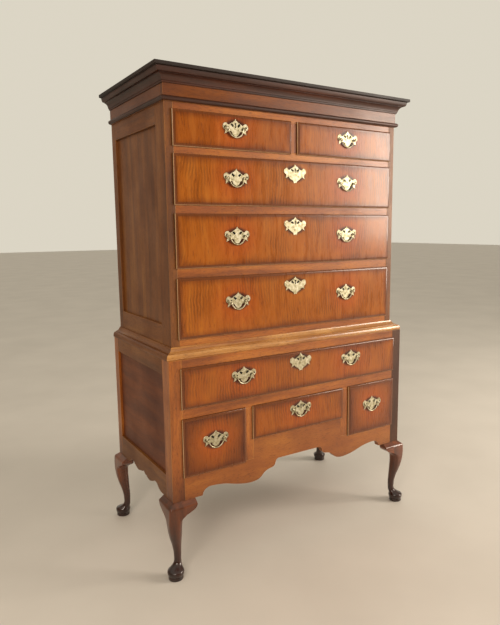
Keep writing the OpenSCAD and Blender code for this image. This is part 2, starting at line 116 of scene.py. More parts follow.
# The eye is level with the middle drawer, out past the left front corner, and looks slightly down
EYE_PLACE = (-1.20551, -1.93653, 1.15937)
camera = bpy.data.objects.new("camera", bpy.data.cameras.new("camera"))
scene.collection.objects.link(camera)
camera.matrix_world = Matrix.Translation(EYE_PLACE) @ aim(32.94, -8.37, -0.44).to_4x4()
camera.data.lens = 33.21
camera.data.sensor_width = 36
camera.data.shift_x = -0.0329
scene.camera = camera


def soft_light(name, place, target, size, watts, colour):
    """A rectangular soft light that faces a target."""
    lamp = bpy.data.objects.new(name, bpy.data.lights.new(name, "AREA"))
    lamp.data.shape = "RECTANGLE"
    lamp.data.size, lamp.data.size_y = size
    lamp.data.energy = watts
    lamp.data.color = linear(colour)[:3]
    lamp.location = place
    lamp.rotation_euler = (Vector(target) - Vector(place)).to_track_quat("-Z", "Y").to_euler()
    scene.collection.objects.link(lamp)


soft_light("window", (3.75, -2.75, 1.95), (0.2, -0.1, 1.0), (1.8, 1.9), 190, "#fff3e4")
soft_light("room_front", (-2.9, -3.0, 2.9), (0, -0.1, 0.7), (1.6, 1.4), 80, "#ffeedd")

# The room is brown behind the viewer, and pale on its ceiling and on the wall behind the chest
# SMOOTH and COVER are node settings: a step with soft ends, and one colour laid over another
SMOOTH, COVER = {"interpolation_type": "SMOOTHSTEP"}, {"data_type": "RGBA"}
room = bpy.data.worlds.new("room")
scene.world = room
room.use_nodes = True
room_tree = room.node_tree
toward = add(room_tree, "ShaderNodeTexCoord", {}, {}).outputs["Generated"]
ahead = add(room_tree, "ShaderNodeVectorMath", {"operation": "DOT_PRODUCT"}, {0: toward, 1: (0.54, 0.84, 0)})
wall_share = add(room_tree, "ShaderNodeMapRange", SMOOTH,
                 {"Value": ahead.outputs["Value"], "From Min": 0.4, "From Max": 0.8,
                  "To Min": 0.0, "To Max": 1.0})
height = add(room_tree, "ShaderNodeSeparateXYZ", {}, {0: toward})
ceiling_share = add(room_tree, "ShaderNodeMapRange", SMOOTH,
                    {"Value": height.outputs[2], "From Min": 0.5, "From Max": 0.85,
                     "To Min": 0.0, "To Max": 1.0})
pale_share = add(room_tree, "ShaderNodeMath", {"operation": "MAXIMUM"}, {0: wall_share, 1: ceiling_share})
wall = add(room_tree, "ShaderNodeMix", COVER,
           {"Factor": pale_share, 6: linear("#8a7660"), 7: linear("#e4ddcc")})
room_tree.links.new(wall.outputs[2], room_tree.nodes["Background"].inputs["Color"])
room_tree.nodes["Background"].inputs["Strength"].default_value = 0.92

FLOOR_HALF = 30
floor_corners = [(x * FLOOR_HALF, y * FLOOR_HALF, 0) for x, y in ((-1, -1), (1, -1), (1, 1), (-1, 1))]
floor_mesh = bpy.data.meshes.new("floor")
floor_mesh.from_pydata(floor_corners, [], [(0, 1, 2, 3)])
floor = bpy.data.objects.new("floor", floor_mesh)
scene.collection.objects.link(floor)


def new_material(name):
    """A material with an empty tree, and its output node."""
    made = bpy.data.materials.new(name)
    made.use_nodes = True
    made.node_tree.nodes.clear()
    return made, made.node_tree, add(made.node_tree, "ShaderNodeOutputMaterial", {}, {})


def limed_floor():
    """Pale limed boards scrubbed matt, drawn as one even surface with faint clouds half a metre wide."""
    made, tree, out = new_material("limed_floor")
    place = add(tree, "ShaderNodeTexCoord", {}, {})
    clouds = add(tree, "ShaderNodeTexNoise", {},
                 {"Vector": place.outputs["Object"], "Scale": 2.0, "Detail": 4.0})
    colour = add(tree, "ShaderNodeValToRGB", {"stops": [(0.3, "#cfc9c0"), (0.7, "#d8d2c9")]}, {"Fac": clouds})
    shader = add(tree, "ShaderNodeBsdfPrincipled", {}, {"Base Color": colour, "Roughness": 0.55})
    tree.links.new(shader.outputs[0], out.inputs["Surface"])
    return made


floor.data.materials.append(limed_floor())

# ---- Legs ----
# Each leg is one length of walnut: a square post for the case's corner above, and below it a
# cabriole with a round knee, a slim ankle and a turned pad foot. Knee blocks are glued on beside
# the knees, and the whole is stained dark and waxed to a shine.

MM = 0.001
# Edges that turn by more than the first angle are eased, and by more than the second are left crisp
SHARP_ANGLE, CRISP_ANGLE = math.radians(32), math.radians(35)


def bend(a, b, c, steps=10):
    """Points on a curve from a to c that leaves and arrives towards b, without its first point."""
    a, b, c = (np.array(p, float) for p in (a, b, c))
    return [tuple(a * (1 - t) ** 2 + b * 2 * t * (1 - t) + c * t * t)
            for t in (i / steps for i in range(1, steps + 1))]


def rough_shape(verts, faces, weld=0.0, scale=1.0):
    """A bmesh of vertices and faces, its doubles welded where asked, and its faces pointing outwards."""
    shape = bmesh.new()
    points = [shape.verts.new([c * scale for c in v]) for v in verts]
    for face in faces:
        shape.faces.new([points[i] for i in face])
    if weld:
        bmesh.ops.remove_doubles(shape, verts=shape.verts, dist=weld)
    bmesh.ops.recalc_face_normals(shape, faces=shape.faces)
    return shape


def taken_from(shape):
    """A bmesh's vertices and faces, as plain lists."""
    return [tuple(v.co) for v in shape.verts], [[v.index for v in f.verts] for f in shape.faces]


def oriented(verts, faces, grain, ease=0.8, finish=0):
    """A solid as (vertices, faces, faces' wear, grain axis, finish), its sharp edges eased by hand."""
    shape = rough_shape(verts, faces)
    worn = []
    if ease:
        sharp = [e for e in shape.edges if e.calc_face_angle(0) > SHARP_ANGLE]
        worn = bmesh.ops.bevel(shape, geom=sharp, offset=ease, segments=2, profile=0.5, affect="EDGES",
                               clamp_overlap=True)["faces"]
    worn = set(worn)
    shape.verts.index_update()
    result = (*taken_from(shape), [1.0 if f in worn else 0.0 for f in shape.faces], grain, finish)
    shape.free()
    return result


def block(low, high, grain=None, ease=0.8, finish=0):
    """A sawn board between two corners; its grain runs along its longest side unless told."""
    verts = [(x, y, z) for x in (low[0], high[0]) for y in (low[1], high[1]) for z in (low[2], high[2])]
    faces = [(0, 1, 3, 2), (4, 6, 7, 5), (0, 4, 5, 1), (2, 3, 7, 6), (0, 2, 6, 4), (1, 5, 7, 3)]
    sides = [h - l for l, h in zip(low, high)]
    if grain is None:
        grain = sides.index(max(sides))
    return oriented(verts, faces, grain, min(ease, 0.3 * min(sides)), finish)


def band(start, count):
    """Faces between one ring of points, the first numbered start, and the next ring of as many."""
    return [[start + i, start + (i + 1) % count, start + count + (i + 1) % count, start + count + i]
            for i in range(count)]


def loft(rings, grain, ease=0, finish=0):
    """A closed solid over rings with the same number of points, capped at both ends."""
    count = len(rings[0])
    verts = [p for ring in rings for p in ring]
    faces = [face for k in range(len(rings) - 1) for face in band(k * count, count)]
    faces += [list(range(count))[::-1], [(len(rings) - 1) * count + i for i in range(count)]]
    return oriented(verts, faces, grain, ease, finish)


def fixed(name, body, mesh):
    """Puts a mesh in the scene as a piece that rides on a body."""
    piece = bpy.data.objects.new(name, mesh)
    scene.collection.objects.link(piece)
    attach(piece, body)
    return piece


def timber(name, body, finishes, solids):
    """Joins solids to one piece that replaces the node of its name. Its grain attribute gives each solid
    its own place in the log: along the grain first, then across it. Its wear attribute is 1 on eased
    edges."""
    seed = random.Random(name)
    verts, faces, wear, grain, finish = [], [], [], [], []
    for points, polygons, worn, axis, finish_index in solids:
        shift = [seed.uniform(0, 20) for _ in range(3)]
        order = [axis] + [a for a in range(3) if a != axis]
        start = len(verts)
        verts += [[c * MM for c in p] for p in points]
        grain += [c * MM + s for p in points for c, s in zip((p[a] for a in order), shift)]
        faces += [[start + i for i in f] for f in polygons]
        wear += worn
        finish += [finish_index] * len(polygons)
    mesh = bpy.data.meshes.new(name)
    mesh.from_pydata(verts, [], faces)
    mesh.attributes.new("grain", "FLOAT_VECTOR", "POINT").data.foreach_set("vector", grain)
    mesh.attributes.new("wear", "FLOAT", "FACE").data.foreach_set("value", wear)
    mesh.polygons.foreach_set("use_smooth", [True] * len(faces))
    mesh.polygons.foreach_set("material_index", finish)
    mesh.set_sharp_from_angle(angle=CRISP_ANGLE)
    for made in finishes:
        mesh.materials.append(made)
    piece = fixed(name, body, mesh)
    flat = piece.modifiers.new("flat faces", "WEIGHTED_NORMAL")
    flat.keep_sharp = True
    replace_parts(piece, name)
    return piece


# Node settings: a colour that darkens the one under it, and a plain product
TINT, TIMES = {"data_type": "RGBA", "blend_type": "MULTIPLY"}, {"operation": "MULTIPLY"}


def walnut(name, dark, middle, light, worn, gloss=0.3, coat=0.35, streak=14, low_dark=(0.29, 0.41, 0.0)):
    """Air-dried walnut under old wax. Streaks of dark and light heartwood run along the grain, streak
    millimetres apart, and open pores make short dark dashes, which really are under 0.3 mm wide and are drawn
    1 mm wide. Eased edges are rubbed paler. The wax is a thin clear coat over satin wood. It may be darker
    towards the bottom: low_dark gives the height where the darkening starts to fade, the height where it
    ends, and how strong it is."""
    made, tree, out = new_material(name)
    grain = add(tree, "ShaderNodeAttribute", {"attribute_name": "grain"}, {}).outputs["Vector"]
    wave = add(tree, "ShaderNodeTexNoise", {}, {"Vector": grain, "Scale": 2.2, "Detail": 2.0})
    swing = add(tree, "ShaderNodeVectorMath", TIMES, {0: wave.outputs["Color"], 1: (0, 0.05, 0.05)})
    bent = add(tree, "ShaderNodeVectorMath", {"operation": "ADD"}, {0: grain, 1: swing})
    across = 1000 / streak / 2
    drawn = add(tree, "ShaderNodeVectorMath", TIMES, {0: bent, 1: (2.0, across, across)})
    streaks = add(tree, "ShaderNodeTexNoise", {},
                  {"Vector": drawn, "Scale": 1.0, "Detail": 5.0, "Roughness": 0.6})
    colour = add(tree, "ShaderNodeValToRGB", {"stops": [(0.3, dark), (0.5, middle), (0.72, light)]},
                 {"Fac": streaks})
    dashes = add(tree, "ShaderNodeVectorMath", TIMES, {0: bent, 1: (60, 420, 420)})
    pores = add(tree, "ShaderNodeTexNoise", {},
                {"Vector": dashes, "Scale": 1.0, "Detail": 3.0, "Roughness": 0.7})
    open_pores = add(tree, "ShaderNodeMapRange", {},
                     {"Value": pores, "From Min": 0.52, "From Max": 0.72, "To Min": 0.0, "To Max": 1.0})
    pored = add(tree, "ShaderNodeMix", TINT, {"Factor": open_pores, 6: colour, 7: linear("#a89484")})
    clouds = add(tree, "ShaderNodeTexNoise", {}, {"Vector": grain, "Scale": 7.0, "Detail": 3.0})
    handled = add(tree, "ShaderNodeMapRange", {},
                  {"Value": clouds, "From Min": 0.35, "From Max": 0.7, "To Min": 0.0, "To Max": 0.55})
    aged = add(tree, "ShaderNodeMix", TINT, {"Factor": handled, 6: pored.outputs[2], 7: linear("#b89c88")})
    rubbed = add(tree, "ShaderNodeAttribute", {"attribute_name": "wear"}, {})
    patchy = add(tree, "ShaderNodeMath", TIMES, {0: rubbed.outputs["Fac"], 1: clouds})
    edged = add(tree, "ShaderNodeMix", COVER, {"Factor": patchy, 6: aged.outputs[2], 7: linear(worn)})
    place = add(tree, "ShaderNodeTexCoord", {}, {})
    split = add(tree, "ShaderNodeSeparateXYZ", {}, {0: place.outputs["Object"]})
    uneven = add(tree, "ShaderNodeMath", {"operation": "MULTIPLY_ADD"},
                 {0: clouds, 1: 0.06, 2: split.outputs[2]})
    low = add(tree, "ShaderNodeMapRange", {},
              {"Value": uneven, "From Min": low_dark[0], "From Max": low_dark[1],
               "To Min": low_dark[2], "To Max": 0.0})
    low_darkened = add(tree, "ShaderNodeMix", TINT, {"Factor": low, 6: edged.outputs[2], 7: linear("#6a4838")})
    rough = add(tree, "ShaderNodeMapRange", {},
                {"Value": clouds, "From Min": 0.3, "From Max": 0.7, "To Min": gloss, "To Max": gloss + 0.12})
    relief = add(tree, "ShaderNodeBump", {"invert": True},
                 {"Strength": 0.12, "Distance": 0.0006, "Height": open_pores})
    shader = add(tree, "ShaderNodeBsdfPrincipled", {},
                 {"Base Color": low_darkened.outputs[2], "Roughness": rough, "Normal": relief, "IOR": 1.5,
                  "Coat Weight": coat, "Coat Roughness": 0.12})
    tree.links.new(shader.outputs[0], out.inputs["Surface"])
    return made


case_walnut = walnut("case_walnut", "#804616", "#a86020", "#c07a30", "#c88a44", gloss=0.32, coat=0.2,
                     low_dark=(0.29, 0.42, 0.8))
leg_walnut = walnut("leg_walnut", "#4a240c", "#703814", "#985220", "#b8743a", gloss=0.24, coat=0.5, streak=24,
                    low_dark=(0.06, 0.27, 1.0))
dull_walnut = walnut("dull_walnut", "#3a1e0c", "#502c12", "#663c1a", "#8a5a30", gloss=0.42, coat=0.0)

CASE_HALF, CASE_BACK = 510, 267
LEG_TOP, SEAT = 266, 742
POST_WIDTH, FRONT_POST, BACK_POST = 44, 54, 40
# Solids that only touch are kept this far apart
HAIR = 0.1

# A leg's section at each height, measured outwards from the case's corner along both faces:
# height, inner face, outer face, radius of the outer corner, the side corners, the inner corner
LEG_SECTIONS = np.array([
    [12.4, -25.4, 20.4, 22.9, 22.9, 22.9],
    [13.5, -27.4, 22.4, 24.9, 24.9, 24.9],
    [20, -30.0, 25.0, 27.5, 27.5, 27.5],
    [26, -31.1, 25.9, 28.5, 28.5, 28.5],
    [31, -29.9, 24.1, 27.0, 27.0, 27.0],
    [36, -28.0, 15.6, 21.8, 21.8, 21.8],
    [42, -27.9, 5.1, 16.5, 16.5, 16.5],
    [50, -28.4, -2.0, 13.2, 13.2, 13.2],
    [62, -28.6, -4.4, 12.1, 12.1, 12.1],
    [82, -29.3, -3.3, 13.0, 13.0, 13.0],
    [114, -28.9, 2.9, 15.9, 15.9, 15.9],
    [146, -28.5, 12.6, 19.6, 19.6, 19.6],
    [177, -27.5, 18.6, 18.0, 20.0, 20.0],
    [203, -28.0, 20.6, 15.0, 17.0, 20.0],
    [214, -33.0, 20.6, 13.0, 13.0, 18.0],
    [224, -44.0, 20.3, 11.0, 9.0, 12.0],
    [244, -44.0, 19.2, 9.0, 6.0, 8.0],
    [251, -44.0, 18.0, 8.0, 5.0, 6.0],
    [253.5, -44.0, 16.4, 7.5, 5.0, 6.0],
    [260, -44.0, 7.8, 5.0, 4.0, 4.0],
    [266, -44.0, 0, 2.0, 2.0, 2.0],
])


def eased(table, places):
    """Rows between the rows of a table, each column on a smooth curve that never overshoots."""
    at = table[:, 0]
    step = np.diff(at)[:, None]
    slope = np.diff(table, axis=0) / step
    product = slope[:-1] * slope[1:]
    middle = np.where(product > 0, 2 * product / np.where(product > 0, slope[:-1] + slope[1:], 1), 0)
    tangent = np.vstack([slope[:1], middle, slope[-1:]])
    rows = []
    for place in places:
        k = min(int(np.searchsorted(at, place, side="right")) - 1, len(at) - 2)
        h = at[k + 1] - at[k]
        t = (place - at[k]) / h
        rows.append(table[k] * (1 + 2 * t) * (1 - t) ** 2 + tangent[k] * h * t * (1 - t) ** 2
                    + table[k + 1] * t * t * (3 - 2 * t) + tangent[k + 1] * h * t * t * (t - 1))
    return rows


def quarter(cx, cy, radius, start, steps=9):
    """A quarter circle about a middle, anticlockwise from a start angle in degrees."""
    angles = [math.radians(start + 90 * i / steps) for i in range(steps + 1)]
    return [(cx + radius * math.cos(a), cy + radius * math.sin(a)) for a in angles]


def leg_ring(row):
    """A leg's section as points at its height."""
    height, inner, outer, r_outer, r_side, r_inner = row
    plan = (quarter(outer - r_outer, outer - r_outer, r_outer, 0)
            + quarter(inner + r_side, outer - r_side, r_side, 90)
            + quarter(inner + r_inner, inner + r_inner, r_inner, 180)
            + quarter(outer - r_side, inner + r_side, r_side, 270))
    return [(x, y, height) for x, y in plan]


def circle(radius, steps):
    """Points round a circle, anticlockwise."""
    return [(radius * math.cos(2 * math.pi * i / steps), radius * math.sin(2 * math.pi * i / steps))
            for i in range(steps)]


# A knee block's far end and back, and where its shelf's rounded edge ends
BLOCK_REACH, BLOCK_BACK = -80, -22
SHELF_OUT, SHELF_LOW = 17.7, 15


def knee_block():
    """A block beside the knee: its rounded shelf carries on the knee's, and its underside is a scroll."""
    underside = ([(BLOCK_REACH, -16)] + bend((BLOCK_REACH, -16), (-76, -30), (-60, -34), 9)
                 + [(-50, -38), (-40, -42), (-30, -42)])
    rings = []
    for along, drop in underside:
        low = LEG_TOP + drop
        shelf = [(15.4 * t, LEG_TOP - 11.2 * t) for t in (0, 0.25, 0.5, 0.75, 1)]
        shelf += [(16.6, LEG_TOP - 12.4), (17.3, LEG_TOP - 13.6), (SHELF_OUT, LEG_TOP - SHELF_LOW)]
        swell = min(1, (along - BLOCK_REACH) / 36)
        for t in (0.2, 0.4, 0.6, 0.8, 1.0):
            height = LEG_TOP - SHELF_LOW - (LEG_TOP - SHELF_LOW - low) * t
            knee = eased(LEG_SECTIONS, [height])[0][2]
            shelf.append((SHELF_OUT + swell * (knee - SHELF_OUT - HAIR), height))
        side = [(along, y, h) for y, h in shelf]
        rings.append([(along, BLOCK_BACK, LEG_TOP)] + side + [(along, BLOCK_BACK, low)])
    return rings


# The foot's pad is turned about a line a little inside the case's corner
PAD_MIDDLE, PAD_TOP, LEG_STEPS = -2.5, 13.5, 70
PAD = [(22.5, 0), (24.3, 0.8), (25, 2.6), (25, 10), (24.4, 12.2), (22.8, 13.4), (18, 13.8)]
leg_heights = [12.4, 13, PAD_TOP]
leg_heights += [PAD_TOP + (LEG_TOP - PAD_TOP) * i / LEG_STEPS for i in range(1, LEG_STEPS)] + [LEG_TOP]
cabriole = [leg_ring(row) for row in eased(LEG_SECTIONS, leg_heights)]
pad = [[(PAD_MIDDLE + x, PAD_MIDDLE + y, z) for x, y in circle(r, 48)] for r, z in PAD]


def placed(rings, side, end):
    """Moves rings drawn about the back right corner to the corner on a side (-1 left) and end (-1 front)."""
    return [[(side * (CASE_HALF + x), end * (CASE_BACK + y), z) for x, y, z in ring] for ring in rings]


for side, end, corner in ((-1, -1, "front_left"), (1, -1, "front_right"),
                          (-1, 1, "back_left"), (1, 1, "back_right")):
    post_depth = FRONT_POST if end < 0 else BACK_POST
    post_x = sorted((side * CASE_HALF, side * (CASE_HALF - POST_WIDTH)))
    post_y = sorted((end * CASE_BACK, end * (CASE_BACK - post_depth)))
    solids = [loft(placed(cabriole, side, end), 2), loft(placed(pad, side, end), 2),
              block((post_x[0], post_y[0], LEG_TOP), (post_x[1], post_y[1], SEAT), ease=1.2, finish=1)]
    swapped = [[(y, x, z) for x, y, z in ring] for ring in knee_block()]
    solids.append(loft(placed(swapped, side, end), 1))
    if end < 0:
        solids.append(loft(placed(knee_block(), side, end), 0))
    post_walnut = case_walnut if side < 0 else dull_walnut
    timber("leg_" + corner, "case", [leg_walnut, post_walnut], solids)

# ---- Lower case ----
# Rails, a shaped apron in front and at each side, and upright partitions are tenoned into the
# posts. Thin panels sit in grooves in the sides. Runners, guides and back boards are bare wood.


def solid_boxes(name):
    """The lowest and highest corner, in millimetres, of each separate board in a CAD node."""
    shape = bmesh.new()
    shape.from_mesh(frame["nodes"][name].data)
    bmesh.ops.remove_doubles(shape, verts=shape.verts, dist=1e-5)
    left, boxes = set(shape.verts), []
    while left:
        reached = [left.pop()]
        for vert in reached:
            near = {e.other_vert(vert) for e in vert.link_edges} & left
            left -= near
            reached += near
        points = np.array([v.co for v in reached]) / MM
        boxes.append((points.min(0), points.max(0)))
    shape.free()
    return sorted(boxes, key=lambda b: [round(c) for c in (*b[0], *b[1])])


def boards(name, ease=0.8):
    """The boards of a CAD node, with eased edges."""
    return [block(low, high, ease=ease) for low, high in solid_boxes(name)]


def sawn(outline, axis, low, high, grain, ease=0.8):
    """A board sawn to an outline, which lies across an axis: 0 for (y, z) points, 1 for (x, z)."""
    ends = [[(at, u, v) if axis == 0 else (u, at, v) for u, v in outline] for at in (low, high)]
    return loft(ends, grain, ease)


def mirrored(right_half):
    """An outline's right half and its mirror image, from left to right."""
    return [(-u, v) for u, v in reversed(right_half)] + right_half[(1 if right_half[0][0] == 0 else 0):]


def bare_wood(name, dark, middle, light, streak, roughness):
    """Unpolished wood dulled by age: soft streaks along the grain, no shine, and grey dirt in patches."""
    made, tree, out = new_material(name)
    grain = add(tree, "ShaderNodeAttribute", {"attribute_name": "grain"}, {}).outputs["Vector"]
    across = 1000 / streak / 2
    drawn = add(tree, "ShaderNodeVectorMath", TIMES, {0: grain, 1: (1.5, across, across)})
    streaks = add(tree, "ShaderNodeTexNoise", {},
                  {"Vector": drawn, "Scale": 1.0, "Detail": 6.0, "Distortion": 0.6})
    colour = add(tree, "ShaderNodeValToRGB", {"stops": [(0.3, dark), (0.5, middle), (0.7, light)]},
                 {"Fac": streaks})
    clouds = add(tree, "ShaderNodeTexNoise", {}, {"Vector": grain, "Scale": 5.0, "Detail": 4.0})
    dirt = add(tree, "ShaderNodeMapRange", {},
               {"Value": clouds, "From Min": 0.45, "From Max": 0.75, "To Max": 0.5})
    dulled = add(tree, "ShaderNodeMix", TINT, {"Factor": dirt, 6: colour, 7: linear("#8c8074")})
    fibres = add(tree, "ShaderNodeVectorMath", TIMES, {0: grain, 1: (20, 400, 400)})
    fuzz = add(tree, "ShaderNodeTexNoise", {}, {"Vector": fibres, "Scale": 1.0, "Detail": 2.0})
    relief = add(tree, "ShaderNodeBump", {}, {"Strength": 0.3, "Distance": 0.0006, "Height": fuzz})
    shader = add(tree, "ShaderNodeBsdfPrincipled", {},
                 {"Base Color": dulled.outputs[2], "Roughness": roughness, "Normal": relief})
    tree.links.new(shader.outputs[0], out.inputs["Surface"])
    return made


lining_oak = bare_wood("lining_oak", "#84623c", "#98734a", "#ab865a", 9, 0.72)
back_pine = bare_wood("back_pine", "#6a4c2e", "#7c5a37", "#8b6841", 22, 0.8)
side_walnut = walnut("side_walnut", "#60360e", "#7e4a16", "#946022", "#a07040", gloss=0.42, coat=0.05,
                     streak=18, low_dark=(0.29, 0.42, 0.3))
apron_walnut = walnut("apron_walnut", "#84481a", "#9c5a20", "#b06e2a", "#c0884e", gloss=0.32, coat=0.15,
                      streak=34, low_dark=(0.27, 0.34, 0.4))

# The apron's ends, and the floors and inner edges of the three openings above it
APRON_THICK, FRAME_THICK = 22, 24
opening = (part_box("front_apron")[1] / MM)[0]
DEEP_FLOOR, SHALLOW_FLOOR = 350, 428
CENTRE_OPEN, INNER_OPEN = 199, 237

APRON_EDGE = ([(0, 62), (93, 62)] + bend((93, 62), (104, 62), (107, 47))
              + bend((107, 47), (110, 34), (126, 32))
              + bend((126, 32), (150, 29), (164, 13)) + bend((164, 13), (178, -3), (212, -2))
              + bend((212, -2), (245, -1), (285, 11)) + bend((285, 11), (325, 25), (372, 26))
              + bend((372, 26), (398, 24), (402, 0)) + [(opening, 0)])
apron_top = mirrored([(CENTRE_OPEN, SHALLOW_FLOOR), (CENTRE_OPEN, DEEP_FLOOR), (INNER_OPEN, DEEP_FLOOR),
                      (opening, DEEP_FLOOR)])
apron_outline = mirrored([(x, LEG_TOP + z) for x, z in APRON_EDGE]) + apron_top[::-1]
timber("front_apron", "case", [apron_walnut],
       [sawn(apron_outline, 1, -CASE_BACK, APRON_THICK - CASE_BACK, 0)])

SIDE_EDGE = ([(0, 23)] + bend((0, 23), (5, 10), (28, 9)) + bend((28, 9), (46, 1), (62, 3))
             + bend((62, 3), (82, 7), (104, 18)) + bend((104, 18), (124, 24), (134, 14))
             + bend((134, 14), (144, 4), (162, 0)) + [(213, 0)])
side_low, side_high = -CASE_BACK + FRONT_POST, CASE_BACK - BACK_POST
panel_floor, panel_top = (c[2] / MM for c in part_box("lower_side_panels"))
side_outline = mirrored([(y, LEG_TOP + z) for y, z in SIDE_EDGE]) + [
    (side_high, LEG_TOP), (side_high, panel_floor), (side_low, panel_floor)]
side_rails = []
for side in (-1, 1):
    low, high = sorted((side * (CASE_HALF - FRAME_THICK), side * CASE_HALF))
    side_rails.append(sawn(side_outline, 0, low, high, 1, 1.0))
    side_rails.append(block((low, side_low, panel_top), (high, side_high, SEAT), ease=1.0))
timber("lower_side_rails", "case", [side_walnut], side_rails)

# The stand's side panels are darker than the rails round them: painted shade for the recess they sit in.
shaded_panel_walnut = walnut("shaded_panel_walnut", "#5a280a", "#6e360f", "#844616", "#8a5a30", gloss=0.45, coat=0.0,
                      streak=20)
for node, slot, finish, ease in (("lower_side_panels", "side_walnut", shaded_panel_walnut, 0.3),
                                 ("lower_front_rails", "case_walnut", case_walnut, 0.8),
                                 ("lower_partitions", "case_walnut", case_walnut, 0.8),
                                 ("lower_runners", "lining_oak", lining_oak, 0.8),
                                 ("lower_back_boards", "back_pine", back_pine, 1.0)):
    timber(node, "case", [finish], boards(node, ease))

# ---- Waist moulding ----
# A cove and a hollow, cut in one profile and mitred round three sides where the chest meets the stand. It is
# the palest and shiniest wood on the piece.

UPPER_HALF, UPPER_FRONT = 483, -233
WAIST_TOP = 779
STEP = CASE_HALF - UPPER_HALF


def moulding(profile, finish=0, side_finish=None):
    """A profile of (projection, height) points round the upper case's front and sides, mitred."""
    back = CASE_BACK - HAIR
    corners = [(-1, back), (-1, UPPER_FRONT), (1, UPPER_FRONT), (1, back)]
    lengths = []
    for start, stop, grain in zip(corners, corners[1:], (1, 0, 1)):
        ends = []
        for side, y in (start, stop):
            mitre = 1 if y == UPPER_FRONT else 0
            ends.append([(side * (UPPER_HALF + p), y - mitre * p, z) for p, z in profile])
        own = finish if grain == 0 or side_finish is None else side_finish
        lengths.append(loft(ends, grain, finish=own))
    return lengths


moulding_walnut = walnut("moulding_walnut", "#9a6030", "#c08a4c", "#d8a868", "#e4c498", gloss=0.22, coat=0.6)
waist_profile = ([(0.3, SEAT), (STEP + 2, SEAT), (STEP + 3, SEAT + 2)]
                 + bend((STEP + 3, SEAT + 2), (STEP + 3, SEAT + 17), (STEP - 5, SEAT + 19))
                 + [(STEP - 8, SEAT + 19), (STEP - 8, SEAT + 21)]
                 + bend((STEP - 8, SEAT + 21), (8, SEAT + 23), (3, WAIST_TOP - 1), 12)
                 + [(3, WAIST_TOP), (0.3, WAIST_TOP)])
timber("waist_moulding", "case", [moulding_walnut, side_walnut],
       moulding(waist_profile, side_finish=1))

# ---- Upper case ----
# Solid stiles and rails frame one tall thin panel in each side, and narrow rails divide the
# drawers in front. The back is four upright boards, held like the stand's by forged nails.

for node, slot, finish, ease in (("upper_side_frames", "side_walnut", side_walnut, 1.0),
                                 ("upper_side_panels", "side_walnut", side_walnut, 0.3),
                                 ("upper_front_rails", "case_walnut", case_walnut, 0.8),
                                 ("upper_runners", "lining_oak", lining_oak, 0.8),
                                 ("upper_back_boards", "back_pine", back_pine, 1.0),
                                 ("upper_case_boards", "back_pine", back_pine, 1.0)):
    timber(node, "case", [finish], boards(node, ease))


def rows_of():
    """Nodes that repeat a shape along a line, each copy a little out of place and turned."""
    tree = bpy.data.node_groups.new("rows_of", "GeometryNodeTree")
    for name, kind in (("Geometry", "Geometry"), ("Count", "Int"), ("Pitch", "Vector"), ("Wander", "Float"),
                       ("Turn", "Float"), ("Seed", "Int"), ("Finish", "Material")):
        tree.interface.new_socket(name=name, in_out="INPUT", socket_type="NodeSocket" + kind)
    tree.interface.new_socket(name="Geometry", in_out="OUTPUT", socket_type="NodeSocketGeometry")
    given = add(tree, "NodeGroupInput", {}, {}).outputs
    line = add(tree, "GeometryNodeMeshLine", {"mode": "OFFSET"},
               {"Count": given["Count"], "Offset": given["Pitch"]})
    most = add(tree, "ShaderNodeVectorMath", {"operation": "SCALE"}, {0: (1, 0, 1), "Scale": given["Wander"]})
    least = add(tree, "ShaderNodeVectorMath", {"operation": "SCALE"}, {0: most, "Scale": -1.0})
    drift = add(tree, "FunctionNodeRandomValue", {"data_type": "FLOAT_VECTOR"},
                {0: least, 1: most, "Seed": given["Seed"]})
    strewn = add(tree, "GeometryNodeSetPosition", {}, {"Geometry": line, "Offset": drift})
    furthest = add(tree, "ShaderNodeCombineXYZ", {}, {"Y": given["Turn"]})
    turned_by = add(tree, "FunctionNodeRandomValue", {"data_type": "FLOAT_VECTOR"},
                    {0: (0, 0, 0), 1: furthest, "Seed": given["Seed"]})
    copies = add(tree, "GeometryNodeInstanceOnPoints", {},
                 {"Points": strewn, "Instance": given["Geometry"], "Rotation": turned_by})
    real = add(tree, "GeometryNodeRealizeInstances", {}, {"Geometry": copies})
    finished = add(tree, "GeometryNodeSetMaterial", {}, {"Geometry": real, "Material": given["Finish"]})
    out = add(tree, "NodeGroupOutput", {}, {})
    tree.links.new(finished.outputs[0], out.inputs["Geometry"])
    return tree


rows = rows_of()


def joined(name, shapes, weld=0.0):
    """One mesh in metres of shapes given as (vertices, faces) in millimetres."""
    whole = bmesh.new()
    for verts, faces in shapes:
        part = rough_shape(verts, faces, weld, MM)
        mesh = bpy.data.meshes.new("part")
        part.to_mesh(mesh)
        part.free()
        whole.from_mesh(mesh)
        bpy.data.meshes.remove(mesh)
    mesh = bpy.data.meshes.new(name)
    whole.to_mesh(mesh)
    whole.free()
    return mesh


def repeated(shapes, starts, values):
    """A plain mesh of shapes, repeated from each start by the rows nodes with their named values."""
    whole = bmesh.new()
    for number, start in enumerate(starts):
        holder = bpy.data.objects.new("holder", joined("one", shapes))
        scene.collection.objects.link(holder)
        modifier = holder.modifiers.new("rows", "NODES")
        modifier.node_group = rows
        for item in rows.interface.items_tree:
            if item.in_out == "INPUT" and item.name in values:
                modifier[item.identifier] = values[item.name]
            if item.in_out == "INPUT" and item.name == "Seed":
                modifier[item.identifier] = number + 1
        ready = holder.evaluated_get(bpy.context.evaluated_depsgraph_get())
        mesh = bpy.data.meshes.new_from_object(ready)
        holder.modifiers.remove(modifier)
        mesh.transform(Matrix.Translation(Vector(start) * MM))
        whole.from_mesh(mesh)
        bpy.data.objects.remove(holder)
    mesh = bpy.data.meshes.new("repeated")
    whole.to_mesh(mesh)
    whole.free()
    mesh.materials.append(values["Finish"])
    return mesh


